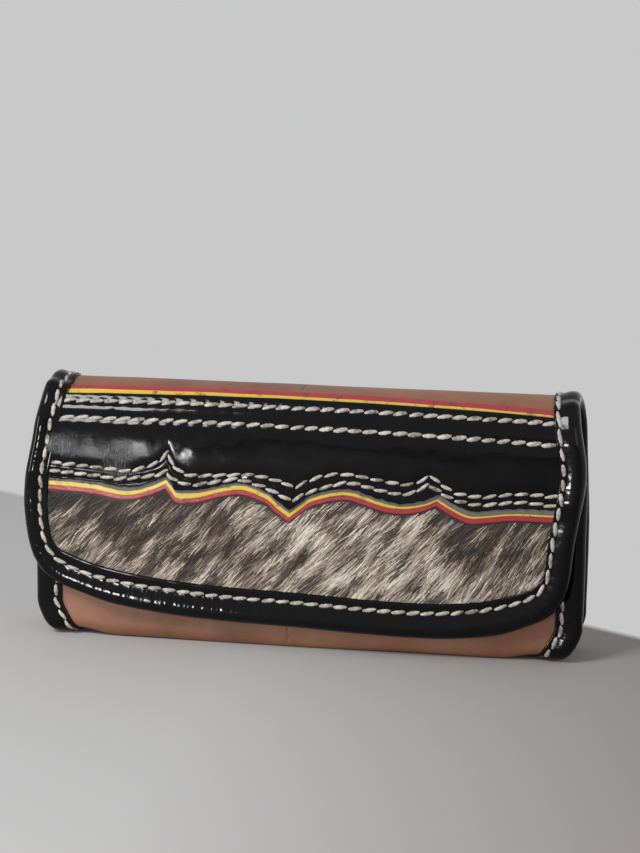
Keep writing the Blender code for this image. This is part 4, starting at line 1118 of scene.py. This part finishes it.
def snap_pieces():
    """The magnetic snap: discs turned to a soft edge, on the front panel and inside the flap."""
    def turned(name, rows, mat):
        around = np.linspace(0, 2 * math.pi, 48, endpoint=False)
        rings = [np.stack([r * MM * np.cos(around), np.full(48, y * MM), 25 * MM + r * MM * np.sin(around)], -1) for y, r in rows]
        return tube(name, np.stack(rings), mat)

    socket = turned("snap_socket_turned", ((-10.9, 1.5), (-11, 1.9), (-13.1, 1.95), (-13.32, 2.1), (-13.36, 6.6), (-13.45, 6.9),
                                          (-13.7, 7), (-14.2, 7), (-14.5, 6.8), (-14.62, 6.4), (-14.64, 4.6), (-14.45, 4.3),
                                          (-14.3, 4.2), (-14.3, 2.6), (-14.1, 2.4), (-14.05, 0.4)), NICKEL)
    dressed(socket, "wallet_body", "snap_socket")
    stud = turned("snap_stud_turned", ((-16.28, 6.4), (-16.2, 6.8), (-16, 7), (-15.5, 7), (-15.2, 6.8), (-15.1, 6.4), (-15.08, 4.4),
                                      (-15, 4.2), (-14.97, 3.9), (-14.97, 0.5)), NICKEL)
    dressed(stud, "flap", "snap_stud")


def carried_over():
    """The CAD's own metal parts that are right as they are get their plated finish."""
    for node, mat in (("zip_slider", BRASS), ("zip_pull", BRASS), ("snap_washer", NICKEL)):
        piece = bpy.data.objects[node]
        piece.data.materials.clear()
        piece.data.materials.append(mat)


# The stage, the light and the camera

def stage():
    """One wide pale floor, coloured a little darker in the right half as painted shade; beyond a slanting line it joins
    the background.
    """
    verts = [(-6, -3, 0), (6, -3, 0), (6, 12, 0), (-6, 12, 0)]
    mesh = bpy.data.meshes.new("floor")
    mesh.from_pydata(verts, [], [(0, 1, 2, 3)])
    floor = bpy.data.objects.new("floor", mesh)
    bpy.context.scene.collection.objects.link(floor)
    mat, nodes, links, bsdf = shader("floor_paper", FLOOR_LEFT, 0.85, Specular_IOR_Level=0.2)
    mesh.materials.append(mat)
    sep = nodes.new("ShaderNodeSeparateXYZ")
    links.new(object_place(nodes, links), sep.inputs["Vector"])
    slant = nodes.new("ShaderNodeMath")
    slant.operation = "MULTIPLY_ADD"
    slant.inputs[1].default_value = FLOOR_SLANT
    links.new(sep.outputs["X"], slant.inputs[0])
    links.new(sep.outputs["Y"], slant.inputs[2])
    far = levels(nodes, links, slant.outputs["Value"], FLOOR_LINE, FLOOR_LINE + 0.006, 0, 1)
    # Painted shade: the floor's colour darkens to the right, standing in for the light's fall-off and a soft shadow
    # edge.
    painted_shade_share = levels(nodes, links, sep.outputs["X"], -0.02, 0.13, 0, 1)
    tone = ramp(nodes, links, painted_shade_share, ((0, FLOOR_LEFT), (1, FLOOR_RIGHT_SHADE)))
    links.new(tone, bsdf.inputs["Base Color"])
    glow = nodes.new("ShaderNodeEmission")
    glow.inputs["Color"].default_value = (*BACKGROUND, 1)
    path = nodes.new("ShaderNodeLightPath")
    seen = nodes.new("ShaderNodeMath")
    seen.operation = "MULTIPLY"
    links.new(far, seen.inputs[0])
    links.new(seen_straight(nodes, links, path), seen.inputs[1])
    mix = nodes.new("ShaderNodeMixShader")
    links.new(seen.outputs["Value"], mix.inputs["Fac"])
    links.new(bsdf.outputs["BSDF"], mix.inputs[1])
    links.new(glow.outputs["Emission"], mix.inputs[2])
    links.new(mix.outputs["Shader"], nodes["Material Output"].inputs["Surface"])


def seen_straight(nodes, links, path):
    """1 for what the camera, a mirror or glass shows, and 0 for what lights the object."""
    total = path.outputs["Is Camera Ray"]
    for kind in ("Is Glossy Ray", "Is Transmission Ray"):
        more = nodes.new("ShaderNodeMath")
        more.operation = "ADD"
        more.use_clamp = True
        links.new(total, more.inputs[0])
        links.new(path.outputs[kind], more.inputs[1])
        total = more.outputs["Value"]
    return total


def room():
    """A plain grey studio: pale where the camera or a mirror sees it."""
    world = bpy.data.worlds.new("room")
    world.use_nodes = True
    bpy.context.scene.world = world
    nodes, links = world.node_tree.nodes, world.node_tree.links
    nodes["Background"].inputs["Color"].default_value = (0.6, 0.6, 0.61, 1)
    nodes["Background"].inputs["Strength"].default_value = ROOM_LIGHT
    seen = nodes.new("ShaderNodeBackground")
    seen.inputs["Color"].default_value = (*BACKGROUND, 1)
    path = nodes.new("ShaderNodeLightPath")
    mix = nodes.new("ShaderNodeMixShader")
    links.new(seen_straight(nodes, links, path), mix.inputs["Fac"])
    links.new(nodes["Background"].outputs["Background"], mix.inputs[1])
    links.new(seen.outputs["Background"], mix.inputs[2])
    links.new(mix.outputs["Shader"], nodes["World Output"].inputs["Surface"])


def lamp(name, place, target, size, power):
    data = bpy.data.lights.new(name, "AREA")
    data.shape = "RECTANGLE"
    data.size, data.size_y = size
    data.energy = power
    obj = bpy.data.objects.new(name, data)
    obj.location = place
    obj.rotation_euler = (Vector(target) - Vector(place)).to_track_quat("-Z", "Y").to_euler()
    bpy.context.scene.collection.objects.link(obj)


def lights():
    lamp("key", (-0.42, -0.62, 0.66), (0, 0, 0.05), (0.3, 0.22), 5)
    lamp("fill", (0.6, -0.7, 0.35), (0, 0, 0.05), (0.5, 0.5), 1)
    lamp("low_left", (-0.55, -0.26, 0.08), (-0.09, -0.01, 0.05), (0.05, 0.2), 0.75)
    lamp("window", (-0.2, -0.46, 0.024), (-0.08, -0.02, 0.065), (0.055, 0.04), 0.45)


def camera():
    data = bpy.data.cameras.new("camera")
    data.lens = 101.3
    data.sensor_width = 36
    data.clip_start = 0.01
    cam = bpy.data.objects.new("camera", data)
    bpy.context.scene.collection.objects.link(cam)
    bpy.context.scene.camera = cam
    azimuth, elevation, roll = math.radians(9.17), math.radians(10), math.radians(0.99)
    back = Vector((math.sin(azimuth) * math.cos(elevation), -math.cos(azimuth) * math.cos(elevation), math.sin(elevation)))
    target = Vector((2.35, 0, 77.45)) * MM
    cam.location = target + back * 843.6 * MM
    cam.rotation_euler = (-back).to_track_quat("-Z", "Y").to_euler()
    cam.rotation_euler.rotate_axis("Z", roll)


FLOOR_SLANT, FLOOR_LINE = 0.664, 0.103
# The right-hand floor colour is painted shade.
FLOOR_LEFT, FLOOR_RIGHT_SHADE = (0.53, 0.525, 0.52), (0.34, 0.315, 0.31)
BACKGROUND = (0.58, 0.58, 0.585)
ROOM_LIGHT = 0.75

cover_pieces()
binding_pieces()
layer_pieces()
hide_pieces()
stitch_pieces()
gusset_pieces()
card_tier_pieces()
pocket_pieces()
zip_pieces()
snap_pieces()
carried_over()
stage()
room()
lights()
camera()
bpy.context.scene.view_settings.view_transform = "Standard"
